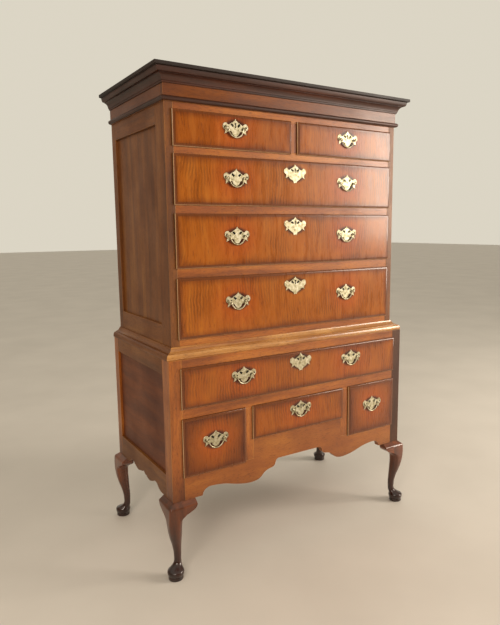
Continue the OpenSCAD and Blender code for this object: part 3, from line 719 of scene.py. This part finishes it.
def turned_along_y(profile, x, z, steps=28):
    """A turned shape about a line along Y, from (radius, y) points, closed at both ends."""
    rings = [[(x + u, y, z + v) for u, v in circle(r, steps)] for r, y in profile]
    return loft(rings, 1)[:2]


def rusty_iron():
    """Forged iron under brown rust, in grains a millimetre or two across."""
    made, tree, out = new_material("rusty_iron")
    place = add(tree, "ShaderNodeTexCoord", {}, {})
    grains = add(tree, "ShaderNodeTexNoise", {}, {"Vector": place.outputs["Object"], "Scale": 600.0})
    colour = add(tree, "ShaderNodeValToRGB", {"stops": [(0.35, "#1e1815"), (0.65, "#4a2f20")]},
                 {"Fac": grains})
    shader = add(tree, "ShaderNodeBsdfPrincipled", {}, {"Base Color": colour, "Roughness": 0.75})
    tree.links.new(shader.outputs[0], out.inputs["Surface"])
    return made


# Rose-headed nails, six-sided as forged. The upper case's upright boards have a row of twelve at the top
# and the bottom. The stand's level boards have six at each end.
rust = rusty_iron()
ROSE = [(2.9, 0), (2.9, 0.4), (1.5, 1.1), (0.3, 1.5)]
NAIL_SUNK, NAIL_WANDER = 0.05, 3
nail = turned_along_y(ROSE, 0, 0, 6)
for node, in_row, from_side, from_end, row_count in (("upper_back_boards", 12, 35, 9, 2),
                                                     ("lower_back_boards", 2, 14, 40, 6)):
    low, high = (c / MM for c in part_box(node))
    pitch = (high[0] - low[0] - 2 * from_side) / (in_row - 1)
    heights = np.linspace(low[2] + from_end, high[2] - from_end, row_count)
    starts = [(low[0] + from_side, high[1] - NAIL_SUNK, z) for z in heights]
    fixed(node + "_nails", "case",
          repeated([nail], starts, {"Count": in_row, "Pitch": (pitch * MM, 0, 0), "Turn": 1.0,
                                    "Wander": NAIL_WANDER * MM, "Finish": rust}))

# The stiles' front faces are given the same paler walnut as the rails between them
stiles = bpy.data.objects["upper_side_frames"].data
stiles.materials.append(case_walnut)
for face in stiles.polygons:
    if face.normal.y < -0.7 and face.center.y < (UPPER_FRONT + 2) * MM:
        face.material_index = 1

# ---- Frieze and cornice ----
# Flat boards stand between an astragal bead and the cornice, which is a cove and an ovolo in one profile
# under a square top edge. Mouldings are mitred at the corners. The wood here is darker than the drawers, and
# almost black along the top.

cornice_walnut = walnut("cornice_walnut", "#2c1004", "#401b07", "#58290e", "#7a4824", gloss=0.38, coat=0.0,
                        streak=16)
blackened_walnut = walnut("blackened_walnut", "#120805", "#1c0d07", "#2c160c", "#4a2c1a", gloss=0.5, coat=0.0,
                       streak=16)
frieze_walnut = walnut("frieze_walnut", "#60300c", "#784010", "#905214", "#a87040", gloss=0.32, coat=0.1,
                       streak=20)

# Each profile stands out from the upper case's face: the bead, the cove, and the top edge above it
PROUD, BEAD_R, BEAD_Z = 3, 7.5, 1552.5
COVE_Z, CORNICE_OUT, TOP = 1596, 42, 1648
bead_turns = [math.radians(a) for a in range(-80, 81, 10)]
bead_profile = ([(PROUD, BEAD_Z - BEAD_R), (PROUD + 1, BEAD_Z - BEAD_R)]
                + [(PROUD + 1 + BEAD_R * math.cos(a), BEAD_Z + BEAD_R * math.sin(a)) for a in bead_turns]
                + [(PROUD + 1, BEAD_Z + BEAD_R), (PROUD, BEAD_Z + BEAD_R)])
COVE = ([(PROUD, 0), (6, 0), (7, 1), (7, 5), (9, 6)] + bend((9, 6), (11, 20), (22, 24), 14)
        + [(23, 24), (23, 26), (28, 26)] + bend((28, 26), (32, 28), (34, 40), 8) + [(PROUD, 40)])
cove_profile = [(out, COVE_Z + up) for out, up in COVE]
top_profile = [(PROUD, COVE_Z + 40 + HAIR), (34.2, COVE_Z + 40 + HAIR), (CORNICE_OUT - 1, COVE_Z + 41.7),
               (CORNICE_OUT, COVE_Z + 43), (CORNICE_OUT, TOP - 0.8), (CORNICE_OUT - 0.8, TOP), (PROUD, TOP)]
timber("cornice", "case", [cornice_walnut, blackened_walnut],
       moulding(bead_profile) + moulding(cove_profile) + moulding(top_profile, 1))
timber("frieze", "case", [frieze_walnut], boards("frieze"))

# ---- Drawers ----
# Each front is oak faced with figured walnut, its edge worked to a thumbnail moulding whose lip
# covers the frame. Oak sides and a back are dovetailed to it, and the bottom is nailed under them.

LIP, FRONT_PROUD, FRONT_THICK, SLACK = 5, 8, 18, 1
# The moulding's steps: how far inside the lip's edge, and how far proud of the case
LIP_LIFT = 0.4
THUMBNAIL = ([(9, FRONT_PROUD), (9, FRONT_PROUD - 1), (8, FRONT_PROUD - 1)]
             + bend((8, FRONT_PROUD - 1), (0.3, FRONT_PROUD - 1), (0, 2), 7) + [(0, LIP_LIFT)])
# A keyhole's half widths, its heights above a plate's middle and its depth, and each lone plate's height
KEY_WIDE, KEY_NARROW, KEY_LOW, KEY_HIGH, KEY_DEEP = 2.6, 1.6, 4, 16, 6
LONE_PLATES = {"upper": 1346, "middle": 1165, "deep": 953, "long": 677}
KEYED_HANDLES = ("top_left", "top_right", "low_centre")
# How much darker some fronts have gone than the rest, which are COMMON_TONE
COMMON_TONE = "#f0eada"
TONES = {"top_left": "#e0d4c0", "upper": "#f4f0e4", "long": "#e6d8c6", "low_left": "#ac9880",
         "low_centre": "#e6d8c6", "low_right": "#b4a088"}


def keyhole(x, z):
    """The outline of a keyhole about a point: a round top on a narrower slot."""
    angles = [math.radians(-50 + 280 * i / 14) for i in range(15)]
    top = [(x + KEY_WIDE * math.cos(a), z + KEY_HIGH + KEY_WIDE * math.sin(a)) for a in angles]
    return top + [(x - KEY_NARROW, z + KEY_LOW), (x + KEY_NARROW, z + KEY_LOW)]


def pierced(outline, holes):
    """Triangles that fill an outline round its holes, as points and faces."""
    points, edges = [], []
    for ring in [outline] + holes:
        start = len(points)
        points += [Vector(p) for p in ring]
        edges += [(start + i, start + (i + 1) % len(ring)) for i in range(len(ring))]
    made, _, faces, *_ = delaunay_2d_cdt(points, edges, [], 2 if not holes else 3, 1e-6)
    return [tuple(p) for p in made], [list(f) for f in faces]


# A front's finishes: its veneer, the oak behind, painted shadow and dirt on the rim of its edge and in its
# keyholes, and a pale line on its moulding that is a painted highlight on worn wood. Then where each begins,
# in front of the case, and how near to the case the edge is rubbed.
VENEER, OAK, SHADE_AND_DIRT, WORN_HIGHLIGHT = range(4)
OAK_FROM, SHADE_AND_DIRT_FROM, WORN_HIGHLIGHT_FROM, RUBBED_TO = -0.3, -3.4, -5.5, -1.9


def drawer_front(x0, x1, z0, z1, face, keyholes):
    """A front's veneered face with its thumbnail edge and the oak that fits the opening behind it, as
    vertices, faces, and each face's wear and finish."""
    rings = []
    for i, out in THUMBNAIL + [(LIP + SLACK, LIP_LIFT), (LIP + SLACK, -FRONT_THICK)]:
        corners = (x0 + i, z0 + i), (x1 - i, z0 + i), (x1 - i, z1 - i), (x0 + i, z1 - i)
        rings.append([(x, face - out, z) for x, z in corners])
    verts = [p for ring in rings for p in ring]
    faces = [f for k in range(len(rings) - 1) for f in band(4 * k, 4)]
    faces.append([4 * len(rings) - 4 + i for i in range(4)])
    if not keyholes:
        faces.append([0, 1, 2, 3])
    else:
        flat, triangles = pierced([(x, z) for x, _, z in rings[0]], keyholes)
        start = len(verts)
        verts += [(x, face - FRONT_PROUD, z) for x, z in flat]
        faces += [[start + i for i in f] for f in triangles]
        for ring in keyholes:
            start, count = len(verts), len(ring)
            verts += [(x, y, z) for y in (face - FRONT_PROUD, face + KEY_DEEP) for x, z in ring]
            faces += band(start, count) + [[start + count + i for i in range(count)]]
    shape = rough_shape(verts, faces, 0.01)
    shape.verts.index_update()
    wear, finish = [], []
    for f in shape.faces:
        near = min(v.co.y for v in f.verts) - face
        far = max(v.co.y for v in f.verts) - face
        wear.append(1.0 if -FRONT_PROUD + 0.5 < near < RUBBED_TO and far < RUBBED_TO else 0.0)
        # Painted shadow and dirt: the lip's rim, in the gap against the frame, and the inside of a keyhole
        # are drawn nearly black.
        if near > SHADE_AND_DIRT_FROM and far < 0 or far == KEY_DEEP:
            finish.append(SHADE_AND_DIRT)
        elif far > OAK_FROM:
            finish.append(OAK)
        else:
            # Painted highlight on worn wood: the outer thumbnail on the left, right and bottom edges takes
            # the pale moulding walnut, where light catches it. The top edges, in shade, keep the veneer.
            on_top = f.calc_center_median().z >= z1 - 4
            finish.append(WORN_HIGHLIGHT if near > WORN_HIGHLIGHT_FROM and not on_top else VENEER)
    verts, faces = taken_from(shape)
    shape.free()
    return verts, faces, wear, finish


def figured_walnut(name, middle, half_size, handles, lone, tone):
    """Figured walnut veneer under old wax. Ripples 11 mm apart stand across an upright grain and fade in and
    out, with darker streaks between. Years of polishing leave the wood warm and light in the field and
    reddish round the handles. It is darker towards the edges. Behind and just round the brasses it is nearly
    black, as dirt and as painted shade, so that the plates' holes and outlines read dark."""
    made, tree, out = new_material(name)
    place = add(tree, "ShaderNodeTexCoord", {}, {}).outputs["Object"]
    centred = add(tree, "ShaderNodeMapping", {}, {"Vector": place, "Location": [-c * MM for c in middle]})
    seed = random.Random(name)
    shift = [seed.uniform(0, 9) for _ in range(3)]
    log = add(tree, "ShaderNodeMapping", {}, {"Vector": centred, "Location": shift})
    wander = add(tree, "ShaderNodeTexNoise", {}, {"Vector": log, "Scale": 5.0, "Detail": 3.0})
    swing = add(tree, "ShaderNodeVectorMath", TIMES, {0: wander.outputs["Color"], 1: (0.045, 0, 0.06)})
    bent = add(tree, "ShaderNodeVectorMath", {"operation": "ADD"}, {0: log, 1: swing})
    upright = add(tree, "ShaderNodeVectorMath", TIMES, {0: bent, 1: (55, 1, 8)})
    streaks = add(tree, "ShaderNodeTexNoise", {},
                  {"Vector": upright, "Scale": 1.0, "Detail": 6.0, "Roughness": 0.62})
    field = add(tree, "ShaderNodeValToRGB",
                {"stops": [(0.25, "#9e560a"), (0.5, "#ae620e"), (0.75, "#bc7214")]}, {"Fac": streaks})
    ripple = add(tree, "ShaderNodeTexWave",
                 {"wave_type": "BANDS", "bands_direction": "X", "wave_profile": "SIN"},
                 {"Vector": bent, "Scale": 30.0, "Distortion": 4.0, "Detail": 3.0, "Detail Scale": 0.9})
    fading = add(tree, "ShaderNodeTexNoise", {}, {"Vector": log, "Scale": 9.0, "Detail": 2.0})
    shown = add(tree, "ShaderNodeMapRange", {},
                {"Value": fading, "From Min": 0.42, "From Max": 0.66, "To Min": 0.0, "To Max": 0.7})
    rippled = add(tree, "ShaderNodeMix", TINT, {"Factor": shown, 6: field, 7: ripple.outputs["Color"]})
    softened = add(tree, "ShaderNodeMix", COVER, {"Factor": 0.55, 6: field, 7: rippled.outputs[2]})
    dashes = add(tree, "ShaderNodeVectorMath", TIMES, {0: bent, 1: (300, 1, 34)})
    pores = add(tree, "ShaderNodeTexNoise", {},
                {"Vector": dashes, "Scale": 1.0, "Detail": 3.0, "Roughness": 0.7})
    open_pores = add(tree, "ShaderNodeMapRange", {},
                     {"Value": pores, "From Min": 0.55, "From Max": 0.75, "To Max": 0.8})
    pored = add(tree, "ShaderNodeMix", TINT,
                {"Factor": open_pores, 6: softened.outputs[2], 7: linear("#9a7a60")})
    from_middle = add(tree, "ShaderNodeVectorMath", {"operation": "ABSOLUTE"}, {0: centred})
    from_edge = add(tree, "ShaderNodeVectorMath", {"operation": "SUBTRACT"},
                    {0: [h * MM for h in (half_size[0], 1000, half_size[1])], 1: from_middle})
    split = add(tree, "ShaderNodeSeparateXYZ", {}, {0: from_edge})
    nearest = add(tree, "ShaderNodeMath", {"operation": "MINIMUM"},
                  {0: split.outputs[0], 1: split.outputs[2]})
    uneven = add(tree, "ShaderNodeMath", {"operation": "MULTIPLY_ADD"}, {0: fading, 1: -0.03, 2: nearest})
    edge = add(tree, "ShaderNodeMapRange", SMOOTH,
               {"Value": uneven, "From Min": -0.014, "From Max": 0.018, "To Min": 0.6, "To Max": 0.0})
    edged = add(tree, "ShaderNodeMix", TINT, {"Factor": edge, 6: pored.outputs[2], 7: linear("#7c4a30")})
    glow, grime_and_shade = None, None
    for x, z in handles:
        around = add(tree, "ShaderNodeVectorMath", {"operation": "DISTANCE"},
                     {0: place, 1: (x * MM, middle[1] * MM, z * MM)})
        near = add(tree, "ShaderNodeMapRange", SMOOTH,
                   {"Value": around.outputs["Value"], "From Min": 0.02, "From Max": 0.13,
                    "To Min": 0.55, "To Max": 0.0})
        if glow:
            near = add(tree, "ShaderNodeMath", {"operation": "MAXIMUM"}, {0: glow, 1: near})
        glow = near
    # Painted shade and dirt: the wood behind and just round each plate goes nearly black, so that the plate's
    # holes and outline read dark.
    for x, z in handles + lone:
        offset = add(tree, "ShaderNodeVectorMath", {"operation": "SUBTRACT"},
                     {0: place, 1: (x * MM, 0, z * MM)})
        flat = add(tree, "ShaderNodeVectorMath", TIMES, {0: offset, 1: (1 / 0.049, 0, 1 / 0.032)})
        around = add(tree, "ShaderNodeVectorMath", {"operation": "LENGTH"}, {0: flat})
        near = add(tree, "ShaderNodeMapRange", SMOOTH,
                   {"Value": around.outputs["Value"], "From Min": 0.7, "From Max": 1.1,
                    "To Min": 0.92, "To Max": 0.0})
        if grime_and_shade:
            near = add(tree, "ShaderNodeMath", {"operation": "MAXIMUM"}, {0: grime_and_shade, 1: near})
        grime_and_shade = near
    reddened = add(tree, "ShaderNodeMix", TINT, {"Factor": glow, 6: edged.outputs[2], 7: linear("#eea45e")})
    grimed_and_shaded = add(tree, "ShaderNodeMix", TINT,
                 {"Factor": grime_and_shade, 6: reddened.outputs[2], 7: linear("#50342a")})
    untouched = add(tree, "ShaderNodeMath", {"operation": "MULTIPLY_ADD", "use_clamp": True},
                    {0: glow, 1: -1.6, 2: 1.0})
    toned = add(tree, "ShaderNodeMix", TINT, {"Factor": untouched, 6: grimed_and_shaded.outputs[2], 7: linear(tone)})
    rubbed = add(tree, "ShaderNodeAttribute", {"attribute_name": "wear"}, {})
    lipped = add(tree, "ShaderNodeMix", COVER,
                 {"Factor": rubbed.outputs["Fac"], 6: toned.outputs[2], 7: linear("#6a3814")})
    rough = add(tree, "ShaderNodeMapRange", {},
                {"Value": streaks, "From Min": 0.3, "From Max": 0.7, "To Min": 0.24, "To Max": 0.34})
    relief = add(tree, "ShaderNodeBump", {"invert": True},
                 {"Strength": 0.1, "Distance": 0.0005, "Height": open_pores})
    shader = add(tree, "ShaderNodeBsdfPrincipled", {},
                 {"Base Color": lipped.outputs[2], "Roughness": rough, "Normal": relief, "IOR": 1.5,
                  "Coat Weight": 0.2, "Coat Roughness": 0.12, "Specular IOR Level": 0.4})
    tree.links.new(shader.outputs[0], out.inputs["Surface"])
    return made


# The pins of a front show in its ends between the sides' tails, as end grain, behind a lap of plain oak.
# They really are flush and stand a little proud here, so that they show.
LAP, PIN_TIP, PIN_ROOT, PIN_PROUD, PIN_SUNK = 5, 1.5, 4, 0.12, 0.5
PIN_PITCH, END_PIN = 34, 12
end_oak = bare_wood("end_oak", "#4a3018", "#5c3e22", "#6e4e2e", 3, 0.7)

# Each drawer's bails and the middle of their pivots. A plate's middle is a little below them.
POST_UP = 1
drawers = {}
for joint in frame["joints"]:
    if joint["type"] == "hinge":
        pivot = Vector(joint["pos_m"]) / MM
        drawers.setdefault(joint["parent"], []).append((joint["child"], pivot))

for body, bails in drawers.items():
    name = body.removeprefix("drawer_")
    low, high = (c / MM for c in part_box(body + "_front"))
    x0, x1, z0, z1 = low[0], high[0], low[2], high[2]
    face = low[1] + FRONT_PROUD
    plate_z = bails[0][1][2] - POST_UP
    lone = LONE_PLATES.get(name)
    keys = [keyhole(bails[0][1][0], plate_z)] if name in KEYED_HANDLES else [keyhole(0, lone)] if lone else []
    handles = [(pivot[0], pivot[2]) for _, pivot in bails]
    veneer = figured_walnut("figured_walnut_" + name, ((x0 + x1) / 2, face - FRONT_PROUD, (z0 + z1) / 2),
                            ((x1 - x0) / 2, (z1 - z0) / 2), handles, [(0, lone)] if lone else [],
                            TONES.get(name, COMMON_TONE))
    verts, faces, wear, finish = drawer_front(x0, x1, z0, z1, face, keys)
    front = timber(body + "_front", body,
                   [veneer, lining_oak, blackened_walnut, moulding_walnut], [(verts, faces, wear, 0, VENEER)])
    front.data.polygons.foreach_set("material_index", finish)
    timber(body + "_box", body, [lining_oak], boards(body + "_box"))
    box_low, box_high = (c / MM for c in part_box(body + "_box"))
    root = face + FRONT_THICK
    plan = [(face + LAP, -PIN_TIP), (root, -PIN_ROOT), (root, PIN_ROOT), (face + LAP, PIN_TIP)]
    pins = []
    for side, x in ((-1, box_low[0]), (1, box_high[0])):
        ends = [[(x + side * out, y, z) for y, z in plan] for out in (-PIN_SUNK, PIN_PROUD)]
        pins.append(loft(ends, 1)[:2])
    count = max(2, round((z1 - z0) / PIN_PITCH))
    pitch = (box_high[2] - box_low[2] - 2 * END_PIN) / (count - 1)
    fixed(body + "_pins", body,
          repeated(pins, [(0, 0, box_low[2] + END_PIN)],
                   {"Count": count, "Pitch": (0, 0, pitch * MM), "Wander": 0.0, "Turn": 0.0,
                    "Finish": end_oak}))

# ---- Brasses ----
# Cast and filed plates in a batwing shape, pierced with eyes and crescents, behind turned posts
# that hold a half round bail. Nuts hold the posts inside the front. Lone plates of the same
# pattern, with pointed feet, cover the other keyholes, and a lock is let in behind each keyhole.


def pale_brass():
    """Cast brass, filed and polished by hand: pale yellow, with soft scratches and tarnish in patches."""
    made, tree, out = new_material("pale_brass")
    place = add(tree, "ShaderNodeTexCoord", {}, {}).outputs["Object"]
    clouds = add(tree, "ShaderNodeTexNoise", {}, {"Vector": place, "Scale": 90.0, "Detail": 4.0})
    colour = add(tree, "ShaderNodeValToRGB",
                 {"stops": [(0.3, "#8a8467"), (0.48, "#bdb596"), (0.68, "#dcd7c0")]}, {"Fac": clouds})
    rough = add(tree, "ShaderNodeMapRange", {},
                {"Value": clouds, "From Min": 0.3, "From Max": 0.7, "To Min": 0.54, "To Max": 0.42})
    relief = add(tree, "ShaderNodeBump", {}, {"Strength": 0.25, "Distance": 0.0006, "Height": clouds})
    shader = add(tree, "ShaderNodeBsdfPrincipled", {},
                 {"Base Color": colour, "Metallic": 1.0, "Roughness": rough, "Normal": relief})
    tree.links.new(shader.outputs[0], out.inputs["Surface"])
    return made


brass = pale_brass()
PLATE_THICK, POST_X = 1.8, 34.5
# The right half of a plate's outline about its middle: its crown and wing, then a handle plate's bowl or
# a lone plate's foot
PLATE_EDGE = ([(0, 33), (2, 29.5), (3.4, 27.2)] + bend((3.4, 27.2), (6, 24.5), (12, 21), 5)
              + bend((12, 21), (18, 17.5), (24, 13.5), 5) + bend((24, 13.5), (28, 12.5), (31, 16), 5)
              + bend((31, 16), (35, 20.5), (40, 18.5), 5) + bend((40, 18.5), (47.5, 15), (47.5, 6), 7)
              + bend((47.5, 6), (46.5, -2), (39, -3.5), 5) + bend((39, -3.5), (37, -9), (42, -17), 5)
              + bend((42, -17), (34, -14), (29, -10), 5))
BOWL_EDGE = bend((29, -10), (20, -6), (15, -9), 5) + bend((15, -9), (12, -21), (0, -24), 9)
FOOT_EDGE = bend((29, -10), (22, -19), (12, -23), 5) + bend((12, -23), (6, -26), (7, -33), 5) + [(0, -31)]
# An eye is two round holes that run together: each one's middle and radius, and the eye's own middle
EYES = ((10.4, 10.2, 3.2), (14.4, 13, 3.2))
EYE_MIDDLE = (12.4, 11.6)
# How far a plate's edge and its holes' edges are filed back at the front, over a depth of PLATE_FILED
PLATE_FILED, HOLE_FILED = 0.7, 0.5


def drawn_in(outline, amount):
    """An outline moved inwards, or outwards for a hole, by an amount."""
    count = len(outline)
    area = sum(outline[i][0] * outline[(i + 1) % count][1] - outline[(i + 1) % count][0] * outline[i][1]
               for i in range(count))
    turn = 1 if area > 0 else -1
    result = []
    for i, (x, z) in enumerate(outline):
        (ax, az), (bx, bz) = outline[i - 1], outline[(i + 1) % count]
        length = math.hypot(bx - ax, bz - az) or 1
        result.append((x - turn * (bz - az) / length * amount, z + turn * (bx - ax) / length * amount))
    return result


def eye_hole(steps=28):
    """The outline of the right eye, from its middle out to whichever round hole reaches further."""
    outline = []
    for turn in (2 * math.pi * i / steps for i in range(steps)):
        furthest = 0
        for u, v, radius in EYES:
            u, v = u - EYE_MIDDLE[0], v - EYE_MIDDLE[1]
            along = u * math.cos(turn) + v * math.sin(turn)
            inside = radius * radius - (u * u + v * v - along * along)
            if inside > 0:
                furthest = max(furthest, along + math.sqrt(inside))
        outline.append((EYE_MIDDLE[0] + furthest * math.cos(turn), EYE_MIDDLE[1] + furthest * math.sin(turn)))
    return outline


def crescent_hole(middle, near, far, start, end, steps=10):
    """A slot that curves round a middle between two angles, widest halfway."""
    angles = [math.radians(start + (end - start) * i / steps) for i in range(steps + 1)]
    widest = [near + (far - near) * (0.25 + 0.75 * math.sin(math.pi * i / steps)) for i in range(steps + 1)]
    outside = [(middle[0] + r * math.cos(a), middle[1] + r * math.sin(a)) for a, r in zip(angles, widest)]
    inside = [(middle[0] + near * math.cos(a), middle[1] + near * math.sin(a)) for a in reversed(angles)]
    return outside + inside


def plate(x, z, back, key, handle):
    """A brass plate with filed edges, as a closed solid."""
    edge = PLATE_EDGE + (BOWL_EDGE if handle else FOOT_EDGE)
    outline = [(x + u, z + v) for u, v in edge] + [(x - u, z + v) for u, v in reversed(edge[1:-1])]
    cut = [eye_hole()]
    if handle:
        cut.append(crescent_hole((POST_X, POST_UP), 6.4, 9.6, 10, 75))
        cut.append(crescent_hole((POST_X, POST_UP), 6.4, 10.5, 140, 215))
    holes = [[(x + side * u, z + v) for u, v in hole] for side in (-1, 1) for hole in cut]
    if key:
        holes.append(keyhole(x, z))
    front = back - PLATE_THICK
    flat, triangles = pierced(drawn_in(outline, PLATE_FILED), [drawn_in(h, -HOLE_FILED) for h in holes])
    base, base_triangles = pierced(outline, holes)
    verts = [(u, front, v) for u, v in flat] + [(u, back, v) for u, v in base]
    faces = triangles + [[len(flat) + i for i in f] for f in base_triangles]
    for ring, amount in [(outline, PLATE_FILED)] + [(h, -HOLE_FILED) for h in holes]:
        levels = [(drawn_in(ring, amount), front), (ring, front + PLATE_FILED), (ring, back)]
        for (upper, y0), (lower, y1) in zip(levels, levels[1:]):
            faces += band(len(verts), len(ring))
            verts += [(u, y0, v) for u, v in upper] + [(u, y1, v) for u, v in lower]
    return verts, faces


WELD = 2e-6


def brass_piece(name, body, shapes):
    """Joins brass shapes to one piece that replaces the node of its name, with welded seams."""
    mesh = joined(name, shapes, WELD)
    mesh.polygons.foreach_set("use_smooth", [True] * len(mesh.polygons))
    mesh.set_sharp_from_angle(angle=math.radians(30))
    mesh.materials.append(brass)
    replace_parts(fixed(name, body, mesh), name)


# Profiles as (radius, distance): a post from its plate outwards, its shank and nut from the back of the
# front inwards, and a bail's knop and pin from the end of the curve outwards
POST = [(0.1, 0), (3.0, 0), (4.2, -0.5), (4.2, -1.2), (3.2, -1.8), (3.4, -2.6), (4.0, -4), (4.0, -5.4),
        (3.4, -6.3), (2.6, -6.6), (2.8, -7.2), (2.2, -7.8), (0.8, -8)]
SHANK_R, SHANK_END, NUT = 2.2, 5, [(5, 0.1), (5, 2.6), (4.4, 3.1)]
BAIL_R, BAIL_STEPS, ROD_STEPS = 27.5, 40, 14
KNOP = [(0.3, -2.6), (1.5, -2.2), (2.4, -1.1), (2.6, 0), (2.4, 1.1), (1.5, 2.2), (1.25, 2.5),
        (1.25, POST_X + 2 - BAIL_R)]
LOCK_HALF, LOCK_DEEP, LOCK_BELOW, LOCK_ABOVE = 25, 11, 16, 28


def bail(pivot):
    """A half round bail that hangs from its pivots, slim at its ends, with a knop and a pin at each."""
    rings = []
    for i in range(BAIL_STEPS + 1):
        turn = math.pi * i / BAIL_STEPS
        rod = 1.35 + 0.75 * math.sin(turn) ** 0.8
        rings.append([(pivot[0] + (BAIL_R + u) * math.cos(turn), pivot[1] + v,
                       pivot[2] - (BAIL_R + u) * math.sin(turn)) for u, v in circle(rod, ROD_STEPS)])
    shapes = [loft(rings, 0)[:2]]
    for side in (-1, 1):
        knop = [[(pivot[0] + side * (BAIL_R + out), pivot[1] + u, pivot[2] + v) for u, v in circle(r, 16)]
                for r, out in KNOP]
        shapes.append(loft(knop, 0)[:2])
    return shapes


for body, bails in drawers.items():
    name = body.removeprefix("drawer_")
    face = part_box(body + "_front")[0][1] / MM + FRONT_PROUD
    back = face - FRONT_PROUD
    plate_face = back - PLATE_THICK
    inside = face + FRONT_THICK
    plate_z = bails[0][1][2] - POST_UP
    lone = LONE_PLATES.get(name)
    shank = [(SHANK_R, back), (SHANK_R, inside + SHANK_END - 0.4), (SHANK_R - 0.4, inside + SHANK_END)]
    shapes = []
    for _, pivot in bails:
        shapes.append(plate(pivot[0], plate_z, back, name in KEYED_HANDLES, True))
        for x in (pivot[0] - POST_X, pivot[0] + POST_X):
            shapes.append(turned_along_y([(r, plate_face + y) for r, y in POST], x, pivot[2]))
            shapes.append(turned_along_y(shank, x, pivot[2]))
            shapes.append(turned_along_y([(r, inside + y) for r, y in NUT], x, pivot[2], 6))
    if lone:
        shapes.append(plate(0, lone, back, True, False))
    if lone or name in KEYED_HANDLES:
        key_x, key_z = (0, lone) if lone else (bails[0][1][0], plate_z)
        lock = block((key_x - LOCK_HALF, inside - LOCK_DEEP, key_z - LOCK_BELOW),
                     (key_x + LOCK_HALF, inside, key_z + LOCK_ABOVE), ease=0.6)
        shapes.append(lock[:2])
    brass_piece(body + "_brasses", body, shapes)
    for bail_body, pivot in bails:
        brass_piece(bail_body, bail_body, bail(pivot))
